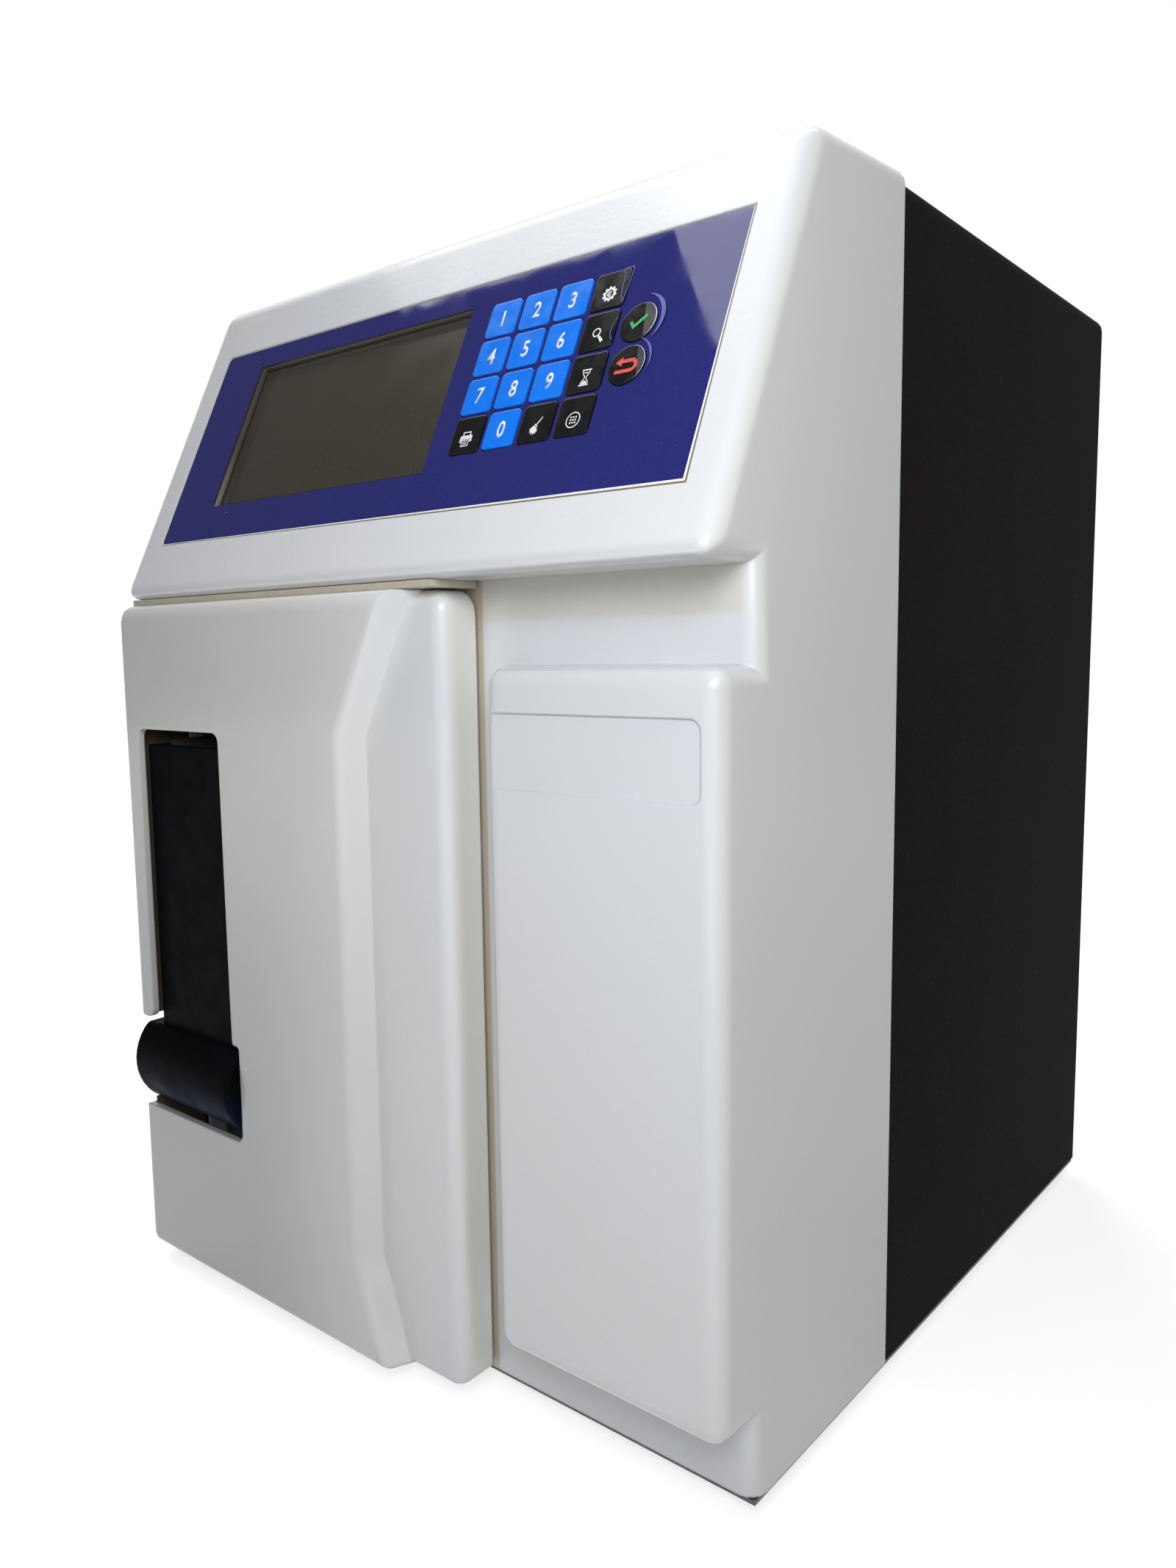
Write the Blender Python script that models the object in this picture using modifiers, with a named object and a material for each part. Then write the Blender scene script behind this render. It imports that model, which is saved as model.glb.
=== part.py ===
"""Bench electrolyte analyzer: white front housing with a hinged sampler door, black rear housing.

Lengths are in metres and angles in degrees. The body frame runs x from the middle, y back from
the face of the raised panel and z up from the housing's lower edge. The slope frame lies on the
leaning control face: x from the middle, y up the slope from the hood's lip, z out of the face.
"""

import math

import bmesh
import bpy
from mathutils import Matrix, Vector

# Clearances
GAP = 0.0003
RUNNING_GAP = 0.0006
OVERRUN = 0.020
WELD = 0.00001

# Whole housing
BODY_WIDTH = 0.303
BODY_HEIGHT = 0.4247
BODY_DEPTH = 0.3367
SHELL_WALL = 0.0035
EDGE_ROUND = 0.0065
CAVITY_ROUND = 0.003

# Front housing
WALL_SET = 0.020
SEAM_SET = 0.112
HOOD_HEIGHT = 0.1347
TOP_DROP = 0.0038
HOOD_REACH = 0.0064
HOOD_LEAN = 24.5
FINGER_GAP = 0.0185
PANEL_FOOT = 0.0264
PANEL_HEAD_GAP = 0.029
LABEL_LEFT_MARGIN = 0.002
LABEL_RIGHT_MARGIN = 0.007
LABEL_HEAD_MARGIN = 0.015
LABEL_HEIGHT = 0.0245
LABEL_DEPTH = 0.0007
LABEL_ROUND = 0.0035
BAY_INSET = 0.015
BAY_WIDTH = 0.162
BAY_FOOT = 0.014
BAY_HEAD_GAP = 0.012

# Control face
OVERLAY_LEFT_MARGIN = 0.0177
OVERLAY_RIGHT_MARGIN = 0.0154
OVERLAY_HEIGHT = 0.0916
OVERLAY_RISE = -0.0028
OVERLAY_THICK = 0.0008
OVERLAY_ROUND = 0.002
OVERLAY_SINK = 0.0002
SCREEN_LEFT_MARGIN = 0.0281
SCREEN_RIGHT_MARGIN = 0.0112
SCREEN_FOOT_MARGIN = 0.0154
SCREEN_TOP_MARGIN = 0.0093
SCREEN_RIM = 0.005
SCREEN_THICK = 0.006
SCREEN_ROUND = 0.0008

# Keys
KEY_SIZE = 0.0138
KEY_ROUND = 0.0015
KEY_PITCH = 0.01575
KEY_ROW_PITCH = 0.01534
KEY_RIGHT_MARGIN = 0.0331
KEY_TOP_MARGIN = 0.01795
KEY_PROUD = 0.0002
KEY_TRAVEL = 0.0005
KEYPAD_MARGIN = 0.0022
BOARD_THICK = 0.0016
BOARD_RIM = 0.004
KEY_ROWS = (
    ("key_1", "key_2", "key_3", "key_calibrate"),
    ("key_4", "key_5", "key_6", "key_analyze"),
    ("key_7", "key_8", "key_9", "key_standby"),
    ("key_print", "key_0", "key_clean", "key_menu"),
)
ROUND_KEYS = (("key_confirm", 1), ("key_return", 2))

# Door
DOOR_WIDTH = 0.192
DOOR_FOOT = 0.0005
DOOR_HEAD_GAP = 0.0028
DOOR_FRONT = 0.0083
STRIP_SET = 0.0015
DOOR_BACK = 0.017
DOOR_SKIN = 0.003
DOOR_CORNER = 0.009
DOOR_LOW_CORNER = 0.0045
DOOR_SIDE_ROUND = 0.0035
DOOR_FOOT_ROUND = 0.003
STEP_WIDTH = 0.046
STEP_FOOT_RUN = 0.0135
STEP_HEAD_RUN = 0.026
STEP_SPREAD = 0.0045
STEP_FOOT_RISE = 0.0395
STEP_BEND_SHARES = ((0.72, 0.33), (0.4, 0.66))
STEP_HEAD_DROP = 0.0512
SLOT_INSET = 0.0112
SLOT_WIDTH = 0.060
SLOT_HEAD_MARGIN = 0.0522
SLOT_FOOT = 0.0660
SLOT_MOUTH = 0.0410
SLOT_SIDE_STEP = 0.0046
SLOT_ROUND = 0.004
SLOT_STEP_ROUND = 0.0015

# Door hinge and magnet
HINGE_INSET = 0.005
HINGE_SET = 0.012
PIN_RADIUS = 0.00175
BOSS_RADIUS = 0.004
BOSS_HEIGHT = 0.013
PIN_ENTRY = 0.0065
PIN_HEAD_RADIUS = 0.003
PIN_HEAD_THICK = 0.001
MAGNET_INSET = 0.0045
MAGNET_WIDTH = 0.009
MAGNET_FOOT = 0.140
MAGNET_HEIGHT = 0.025
MAGNET_FACE = 0.014

# Sampler lever
LEVER_PIVOT_SET = 0.010
LEVER_PIVOT_DROP = 0.013
LEVER_HEAD = 0.006
LEVER_FACE = 0.0038
LEVER_THICK = 0.003
EAR_THICK = 0.003
EAR_BACK = 0.016
EAR_DROP = 0.010
GRIP_INSET = 0.002
GRIP_OVERHANG = 0.0013
GRIP_RADIUS = 0.0228
GRIP_SET = 0.0095
GRIP_RISE = 0.021
GRIP_TOP_DROP = 0.0035
GRIP_TAIL_RISE = 0.0035
GRIP_LOW_ANGLE = 55.0
GRIP_WALL = 0.0022
GRIP_ROUND = 0.0018
PROBE_RADIUS = 0.0009
PROBE_FOOT_RISE = 0.008
PROBE_DROP = 0.014

# Sampler bracket
ARM_THICK = 0.003
ARM_HALF_HEIGHT = 0.008
ARM_NOSE = 0.006
BRACKET_DROP = 0.022
BRACKET_RISE = 0.014
BRACKET_THICK = 0.003

# Instrument plate and what it carries
PLATE_SET = 0.062
PLATE_THICK = 0.002
PLATE_INSET = 0.010
PLATE_WIDTH = 0.203
PLATE_HEAD_GAP = 0.004
SHELF_OVERHANG = 0.004
SHELF_SET = 0.026
SHELF_FOOT = 0.0115
SHELF_THICK = 0.003
PACK_WIDTH = 0.086
PACK_HEIGHT = 0.068
PACK_ROUND = 0.003
CARRIER_INSET = 0.087
CARRIER_WIDTH = 0.042
CARRIER_FOOT = 0.092
CARRIER_SET = 0.034
CARRIER_WALL = 0.004
CELL_HEIGHT = 0.026
CELL_SET = 0.037
CELL_COUNT = 3
CELL_ROUND = 0.001
CELL_LENS_RADIUS = 0.008
CELL_LENS_DEPTH = 0.003
REFERENCE_HEIGHT = 0.034
PUMP_HEIGHT = 0.196
PUMP_BASE_RADIUS = 0.024
PUMP_BASE_THICK = 0.0065
PUMP_TRACK_RADIUS = 0.020
PUMP_TRACK_DEPTH = 0.015
PUMP_TRACK_LEG = 0.012
ROTOR_RADIUS = 0.0135
ROTOR_THICK = 0.0137
ROLLER_RADIUS = 0.004
ROLLER_ORBIT = 0.0123
ROLLER_COUNT = 3
HOSE_RADIUS = 0.0014
HOSE_TAIL = 0.026

# Rear housing
REAR_INSET = 0.0006
REAR_DROP = 0.0028
REAR_WALL = 0.002
BACK_RECESS = 0.007
BACK_THICK = 0.002
BACK_SLOT_COUNT = 9
BACK_SLOT_PITCH = 0.008
BACK_SLOT_WIDTH = 0.003
BACK_SLOT_HEIGHT = 0.060
BACK_SLOT_ROUND = 0.001
BACK_SLOT_FOOT = 0.230
BACK_SLOT_X = 0.060

# Base plate and feet
BASE_INSET = 0.001
BASE_THICK = 0.0015
TONGUE_WIDTH = 0.014
TONGUE_FRONT = 0.005
FOOT_HEIGHT = 0.0049
FOOT_RADIUS = 0.009
FOOT_TAPER = 0.001
FOOT_SIDE_SET = 0.025
FOOT_FRONT_SET = 0.040
FOOT_BACK_SET = 0.026

# Electrics
BOARD_LEFT = 0.120
BOARD_RIGHT = 0.020
BOARD_LENGTH = 0.160
BOARD_BACK_GAP = 0.0377
BOARD_HEIGHT = 0.012
RAIL_WIDTH = 0.006
RAIL_INSET = 0.010
CHIP_SIZE = 0.024
CHIP_THICK = 0.003
CHIP_COUNT = 3
SUPPLY_BOARD_GAP = 0.020
SUPPLY_SIDE_GAP = 0.0215
SUPPLY_LENGTH = 0.095
SUPPLY_BACK_GAP = 0.0427
SUPPLY_HEIGHT = 0.045
SUPPLY_ROUND = 0.0015
INLET_SIDE_SET = 0.0665
INLET_HEIGHT = 0.070
INLET_HALF_WIDTH = 0.0135
INLET_HALF_HEIGHT = 0.0105
INLET_DEPTH = 0.020
INLET_FLANGE = 0.004
FLANGE_THICK = 0.002
INLET_WALL = 0.002
INLET_SOCKET_DEPTH = 0.015
INLET_PIN_LENGTH = 0.012
INLET_PIN_WIDTH = 0.002
INLET_PIN_HEIGHT = 0.004
INLET_PIN_PITCH = 0.007
INLET_EARTH_RISE = 0.004
SWITCH_RISE = 0.035
SWITCH_HALF_WIDTH = 0.0095
SWITCH_HALF_HEIGHT = 0.014
SWITCH_FRAME = 0.0025
SWITCH_DEPTH = 0.014
ROCKER_RADIUS = 0.0115
ROCKER_TILT = 9.0
ROCKER_PROUD = 0.003
PORT_X = 0.020
PORT_HALF_WIDTH = 0.0085
PORT_HALF_HEIGHT = 0.0045
PORT_DRAFT = 0.001
PORT_PROUD = 0.0045
PORT_FLANGE = 0.007
PORT_FLANGE_RISE = 0.002

# Top printer
PRINTER_SET = 0.038
PRINTER_LENGTH = 0.076
PRINTER_HALF_WIDTH = 0.0315
TRAY_RIM = 0.0015
TRAY_WALL = 0.0040
TRAY_DEPTH = 0.060
TRAY_FLOOR = 0.003
ROLL_LENGTH = 0.057
ROLL_RADIUS = 0.022
LID_BARREL_RADIUS = 0.001
PAPER_SLOT = 0.0015

# Facets
ROUND_SIDES = 24
PIN_SIDES = 16
CORNER_STEPS = 4
ARC_STEPS = 12
BEVEL_STEPS = 4
FLAT_ANGLE = 1.0
BEVEL_ANGLE = 30.0

# Derived places
HALF_WIDTH = BODY_WIDTH / 2
LEFT = -HALF_WIDTH
HOOD_UNDERSIDE = BODY_HEIGHT - HOOD_HEIGHT
LEVER_REACH = GRIP_RADIUS - GRIP_SET
PANEL_Y = (LEVER_REACH - BODY_DEPTH) / 2
BASE_TOP = -GAP
BASE_UNDERSIDE = BASE_TOP - BASE_THICK
GROUND = BASE_UNDERSIDE - GAP - FOOT_HEIGHT
LEAN = math.radians(HOOD_LEAN)
HOOD_TOP_SET = (BODY_HEIGHT - HOOD_UNDERSIDE) * math.tan(LEAN) - HOOD_REACH
RECESS_DEPTH = OVERLAY_SINK + OVERLAY_THICK + GAP
WALL_BACK = WALL_SET + SHELL_WALL
DOOR_RIGHT = LEFT + DOOR_WIDTH
DOOR_TOP = HOOD_UNDERSIDE - DOOR_HEAD_GAP
PANEL_LEFT = DOOR_RIGHT + FINGER_GAP
PANEL_TOP = HOOD_UNDERSIDE - PANEL_HEAD_GAP
LABEL_TOP = PANEL_TOP - LABEL_HEAD_MARGIN
BAY_LEFT = LEFT + BAY_INSET
BAY_RIGHT = BAY_LEFT + BAY_WIDTH
BAY_TOP = HOOD_UNDERSIDE - BAY_HEAD_GAP
OVERLAY_LEFT = LEFT + OVERLAY_LEFT_MARGIN
OVERLAY_RIGHT = HALF_WIDTH - OVERLAY_RIGHT_MARGIN
OVERLAY_FOOT = (HOOD_HEIGHT / math.cos(LEAN) - OVERLAY_HEIGHT) / 2 + OVERLAY_RISE
OVERLAY_TOP = OVERLAY_FOOT + OVERLAY_HEIGHT
ROUND_KEY_X = OVERLAY_RIGHT - KEY_RIGHT_MARGIN
KEY_LEFT = ROUND_KEY_X - len(KEY_ROWS[0]) * KEY_PITCH
KEY_TOP_ROW = OVERLAY_TOP - KEY_TOP_MARGIN
SCREEN_LEFT = OVERLAY_LEFT + SCREEN_LEFT_MARGIN
SCREEN_RIGHT = KEY_LEFT - KEY_SIZE / 2 - SCREEN_RIGHT_MARGIN
SCREEN_FOOT = OVERLAY_FOOT + SCREEN_FOOT_MARGIN
SCREEN_TOP = OVERLAY_TOP - SCREEN_TOP_MARGIN
STEP_X = DOOR_RIGHT - STEP_WIDTH
SLOT_LEFT = LEFT + SLOT_INSET
SLOT_RIGHT = SLOT_LEFT + SLOT_WIDTH
SLOT_WIDE_RIGHT = SLOT_RIGHT + SLOT_SIDE_STEP
SLOT_TOP = DOOR_TOP - SLOT_HEAD_MARGIN
SLOT_WAIST = SLOT_FOOT + SLOT_MOUTH
MAGNET_RIGHT = DOOR_RIGHT - MAGNET_INSET
MAGNET_LEFT = MAGNET_RIGHT - MAGNET_WIDTH
MAGNET_TOP = MAGNET_FOOT + MAGNET_HEIGHT
PIVOT_HEIGHT = SLOT_TOP - LEVER_PIVOT_DROP
LEVER_TOP = PIVOT_HEIGHT + LEVER_HEAD
GRIP_LEFT = LEFT + GRIP_INSET
GRIP_RIGHT = SLOT_RIGHT + GRIP_OVERHANG
GRIP_HEIGHT = SLOT_FOOT + GRIP_RISE
GRIP_TOP = SLOT_WAIST - GRIP_TOP_DROP
GRIP_TAIL = SLOT_FOOT + GRIP_TAIL_RISE
PROBE_X = (SLOT_LEFT + SLOT_RIGHT) / 2
PLATE_LEFT = LEFT + PLATE_INSET
CARRIER_LEFT = LEFT + CARRIER_INSET
CARRIER_RIGHT = CARRIER_LEFT + CARRIER_WIDTH
PACK_RIGHT = CARRIER_LEFT + PACK_WIDTH
SCREEN_FACE = -(SHELL_WALL + GAP)
BOARD_FACE = SCREEN_FACE
KEY_BACK = BOARD_FACE + GAP + KEY_TRAVEL
HINGE_X = HINGE_INSET - HALF_WIDTH
SLEEVE_RADIUS = PIN_RADIUS + GAP
BACK_FACE = BODY_DEPTH - BACK_RECESS
REAR_HALF = HALF_WIDTH - REAR_INSET
REAR_TOP = BODY_HEIGHT - REAR_DROP
PUMP_X = CARRIER_RIGHT + RUNNING_GAP + PUMP_BASE_RADIUS
BACK_INNER = BACK_FACE - BACK_THICK
BOARD_BACK = BACK_INNER - BOARD_BACK_GAP
BOARD_FRONT = BOARD_BACK - BOARD_LENGTH
SUPPLY_BACK = BACK_INNER - SUPPLY_BACK_GAP
SUPPLY_FRONT = SUPPLY_BACK - SUPPLY_LENGTH
INLET_X = HALF_WIDTH - INLET_SIDE_SET
PRINTER_FRONT = SEAM_SET + PRINTER_SET
PRINTER_BACK = PRINTER_FRONT + PRINTER_LENGTH

# Axis turns for bars that a primitive makes upright, and for outlines drawn flat
BAR_TURN = {
    "X": Matrix.Rotation(math.pi / 2, 3, "Y"),
    "Y": Matrix.Rotation(-math.pi / 2, 3, "X"),
    "Z": Matrix.Identity(3),
}
OUTLINE_TURN = {
    "X": Matrix(((0, 0, 1), (1, 0, 0), (0, 1, 0))),
    "Y": Matrix(((1, 0, 0), (0, 0, -1), (0, 1, 0))),
    "Z": Matrix.Identity(3),
}
AXIS = {"X": Vector((1, 0, 0)), "Y": Vector((0, 1, 0)), "Z": Vector((0, 0, 1))}

for item in list(bpy.data.objects):
    bpy.data.objects.remove(item, do_unlink=True)

parts = bpy.data.collections.new("electrolyte_analyzer")
cutters = bpy.data.collections.new("electrolyte_analyzer_cutters")
bpy.context.scene.collection.children.link(parts)
bpy.context.scene.collection.children.link(cutters)


def empty(name, location, parent=None, rotation=(0, 0, 0)):
    """Empty that carries pieces of one frame or one joint."""
    item = bpy.data.objects.new(name, None)
    parts.objects.link(item)
    item.parent = parent
    item.location = location
    item.rotation_euler = rotation
    return item


def material(name, colour, roughness, metallic=0.0):
    """Principled material with the piece's colour."""
    made = bpy.data.materials.new(name)
    made.use_nodes = True
    shader = made.node_tree.nodes["Principled BSDF"]
    shader.inputs["Base Color"].default_value = (*colour, 1.0)
    shader.inputs["Roughness"].default_value = roughness
    shader.inputs["Metallic"].default_value = metallic
    made.diffuse_color = (*colour, 1.0)
    return made


def placed(name, shape, parent, origin, look):
    """Object from a mesh drawn in its parent's frame, with its origin where its joint or centre is."""
    bmesh.ops.recalc_face_normals(shape, faces=shape.faces)
    bmesh.ops.translate(shape, vec=-Vector(origin), verts=shape.verts)
    mesh = bpy.data.meshes.new(name)
    shape.to_mesh(mesh)
    shape.free()
    item = bpy.data.objects.new(name, mesh)
    item.parent = parent
    item.location = origin
    if look is None:
        item.hide_render = True
        item.display_type = "WIRE"
        cutters.objects.link(item)
    else:
        mesh.materials.append(look)
        parts.objects.link(item)
    return item


def blocks(name, spans, parent, look=None, origin=None):
    """Boxes, each from its span of x, y and z limits."""
    shape = bmesh.new()
    for span in spans:
        low = Vector(span[0::2])
        high = Vector(span[1::2])
        cube = bmesh.ops.create_cube(shape, size=1)["verts"]
        bmesh.ops.scale(shape, vec=high - low, verts=cube)
        bmesh.ops.translate(shape, vec=(low + high) / 2, verts=cube)
    if origin is None:
        origin = (Vector(spans[0][0::2]) + Vector(spans[0][1::2])) / 2
    return placed(name, shape, parent, origin, look)


def bars(name, axis, centres, span, radius, parent, look=None, origin=None, sides=ROUND_SIDES, tip=None):
    """Round bars along an axis between two levels, each with its centre on that axis."""
    shape = bmesh.new()
    middle = AXIS[axis] * (sum(span) / 2)
    for centre in centres:
        made = bmesh.ops.create_cone(
            shape, cap_ends=True, segments=sides, radius1=radius,
            radius2=radius if tip is None else tip, depth=span[1] - span[0],
        )["verts"]
        bmesh.ops.rotate(shape, cent=(0, 0, 0), matrix=BAR_TURN[axis], verts=made)
        bmesh.ops.translate(shape, vec=Vector(centre) + middle, verts=made)
    if origin is None:
        origin = Vector(centres[0]) + middle
    return placed(name, shape, parent, origin, look)


def outlines(name, axis, drawn, span, parent, look=None, origin=None):
    """Flat outlines square to an axis, drawn as a filled curve and given their thickness."""
    curve = bpy.data.curves.new(name, "CURVE")
    curve.dimensions = "2D"
    curve.fill_mode = "BOTH"
    curve.extrude = (span[1] - span[0]) / 2
    for outline in drawn:
        spline = curve.splines.new("POLY")
        spline.points.add(len(outline) - 1)
        for point, place in zip(spline.points, outline):
            point.co = (place[0], place[1], 0, 1)
        spline.use_cyclic_u = True
    sketch = bpy.data.objects.new(name + "_sketch", curve)
    parts.objects.link(sketch)
    bpy.context.view_layer.update()
    mesh = bpy.data.meshes.new_from_object(sketch.evaluated_get(bpy.context.evaluated_depsgraph_get()))
    shape = bmesh.new()
    shape.from_mesh(mesh)
    bpy.data.objects.remove(sketch, do_unlink=True)
    bpy.data.meshes.remove(mesh)
    bmesh.ops.remove_doubles(shape, verts=shape.verts, dist=WELD)
    bmesh.ops.dissolve_limit(
        shape, angle_limit=math.radians(FLAT_ANGLE), verts=shape.verts, edges=shape.edges)
    bmesh.ops.rotate(shape, cent=(0, 0, 0), matrix=OUTLINE_TURN[axis], verts=shape.verts)
    middle = AXIS[axis] * (sum(span) / 2)
    bmesh.ops.translate(shape, vec=middle, verts=shape.verts)
    if origin is None:
        low = Vector([min(vert.co[i] for vert in shape.verts) for i in range(3)])
        high = Vector([max(vert.co[i] for vert in shape.verts) for i in range(3)])
        origin = (low + high) / 2
    return placed(name, shape, parent, origin, look)


def arc(centre, radius, start, end, steps=ARC_STEPS):
    """Points along an arc, its angles in degrees."""
    turns = [math.radians(start + (end - start) * step / steps) for step in range(steps + 1)]
    return [(centre[0] + radius * math.cos(turn), centre[1] + radius * math.sin(turn)) for turn in turns]


def rounded(corners, radii, steps=CORNER_STEPS):
    """Outline whose corners become arcs of the given radii."""
    points = []
    for index, corner in enumerate(corners):
        here = Vector(corner)
        back = (Vector(corners[index - 1]) - here).normalized()
        ahead = (Vector(corners[(index + 1) % len(corners)]) - here).normalized()
        radius = radii[index] if isinstance(radii, (tuple, list)) else radii
        if radius <= 0:
            points.append(tuple(here))
            continue
        half = back.angle(ahead) / 2
        centre = here + (back + ahead).normalized() * (radius / math.sin(half))
        first = here + back * (radius / math.tan(half)) - centre
        last = here + ahead * (radius / math.tan(half)) - centre
        start = math.atan2(first.y, first.x)
        sweep = (math.atan2(last.y, last.x) - start + math.pi) % (2 * math.pi) - math.pi
        for step in range(steps + 1):
            turn = start + sweep * step / steps
            points.append((centre.x + radius * math.cos(turn), centre.y + radius * math.sin(turn)))
    return points


def rectangle(left, right, foot, top):
    """Four corners of an upright rectangle."""
    return [(left, foot), (right, foot), (right, top), (left, top)]


def soften(item, width, steps=BEVEL_STEPS, weigh=None):
    """Rounded edges: all sharp ones, or those that a rule gives a share of the width."""
    if weigh is not None:
        shape = bmesh.new()
        shape.from_mesh(item.data)
        layer = shape.edges.layers.float.new("bevel_weight_edge")
        for edge in shape.edges:
            edge[layer] = weigh(edge, Vector(item.location))
        shape.to_mesh(item.data)
        shape.free()
    bevel = item.modifiers.new("round", "BEVEL")
    bevel.width = width
    bevel.segments = steps
    bevel.limit_method = "ANGLE" if weigh is None else "WEIGHT"
    bevel.angle_limit = math.radians(BEVEL_ANGLE)
    bevel.use_clamp_overlap = True
    return item


def combine(item, tools, operation):
    """Joins tools to a piece or cuts them from it, one after the other."""
    for tool in tools:
        step = item.modifiers.new(tool.name, "BOOLEAN")
        step.operation = operation
        step.solver = "EXACT"
        step.object = tool
    return item


def join(item, *tools):
    """Union of a piece with its tools."""
    return combine(item, tools, "UNION")


def cut(item, *tools):
    """Piece without what its tools cover."""
    return combine(item, tools, "DIFFERENCE")


body = empty("body_frame", (0, PANEL_Y, -GROUND))
slope = empty("slope_frame", (0, -HOOD_REACH, HOOD_UNDERSIDE), body, (math.pi / 2 - LEAN, 0, 0))
door_hinge = empty("door_hinge", (HINGE_X, HINGE_SET, 0), body)

# Colours of the pieces
IVORY = (0.80, 0.80, 0.77)
BLACK = (0.018, 0.016, 0.017)
BLUE = (0.022, 0.024, 0.22)
KEY_BLUE = (0.01, 0.20, 0.92)
SCREEN_GREY = (0.065, 0.058, 0.042)
LEVER_BLACK = (0.006, 0.008, 0.014)
STEEL = (0.62, 0.62, 0.61)
DARK_STEEL = (0.20, 0.20, 0.21)
BROWN_GREY = (0.16, 0.12, 0.08)
RUBBER = (0.02, 0.02, 0.02)
BOARD_GREEN = (0.02, 0.14, 0.06)
CLEAR_GREY = (0.55, 0.60, 0.62)
PAPER = (0.82, 0.81, 0.77)
LABEL_WHITE = (0.78, 0.80, 0.82)
KEY_COLOURS = {
    "key_calibrate": BLACK, "key_analyze": BLACK, "key_standby": BLACK, "key_print": BLACK,
    "key_clean": BLACK, "key_menu": BLACK, "key_confirm": (0.02, 0.50, 0.08),
    "key_return": (0.70, 0.03, 0.03),
}


def fascia_outline(inset, lip_round):
    """Side outline of the front housing, moved inwards by an inset, past its foot and its seam."""
    face = HOOD_UNDERSIDE + inset
    top = BODY_HEIGHT - TOP_DROP - inset

    def slope_set(height):
        return (height - HOOD_UNDERSIDE) * math.tan(LEAN) - HOOD_REACH + inset / math.cos(LEAN)

    back_top = BODY_HEIGHT - inset + OVERRUN * TOP_DROP / (SEAM_SET - slope_set(top))
    corners = [
        (WALL_SET + inset, -OVERRUN), (WALL_SET + inset, face), (slope_set(face), face),
        (slope_set(top), top), (SEAM_SET + OVERRUN, back_top), (SEAM_SET + OVERRUN, -OVERRUN),
    ]
    return rounded(corners, (0, 0, lip_round, 0, 0, 0))


def convex(edge, place):
    """Full rounding on every edge that stands out, but not past the foot and the seam."""
    ends = [vert.co + place for vert in edge.verts]
    trimmed = all(end.z < 0 for end in ends) or all(end.y > SEAM_SET for end in ends)
    return 1.0 if edge.is_convex and not trimmed else 0.0


def key_outlines(grow):
    """Outlines of all keys on the slope, each grown by a clearance."""
    half = KEY_SIZE / 2 + grow
    drawn = {}
    for row, names in enumerate(KEY_ROWS):
        height = KEY_TOP_ROW - row * KEY_ROW_PITCH
        for column, name in enumerate(names):
            middle = KEY_LEFT + column * KEY_PITCH
            square = rectangle(middle - half, middle + half, height - half, height + half)
            drawn[name] = rounded(square, KEY_ROUND + grow)
    middle = ROUND_KEY_X
    for name, row in ROUND_KEYS:
        height = KEY_TOP_ROW - row * KEY_ROW_PITCH
        drawn[name] = arc((middle, height), half, 0, 360, ROUND_SIDES)[:-1]
    return drawn


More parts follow.
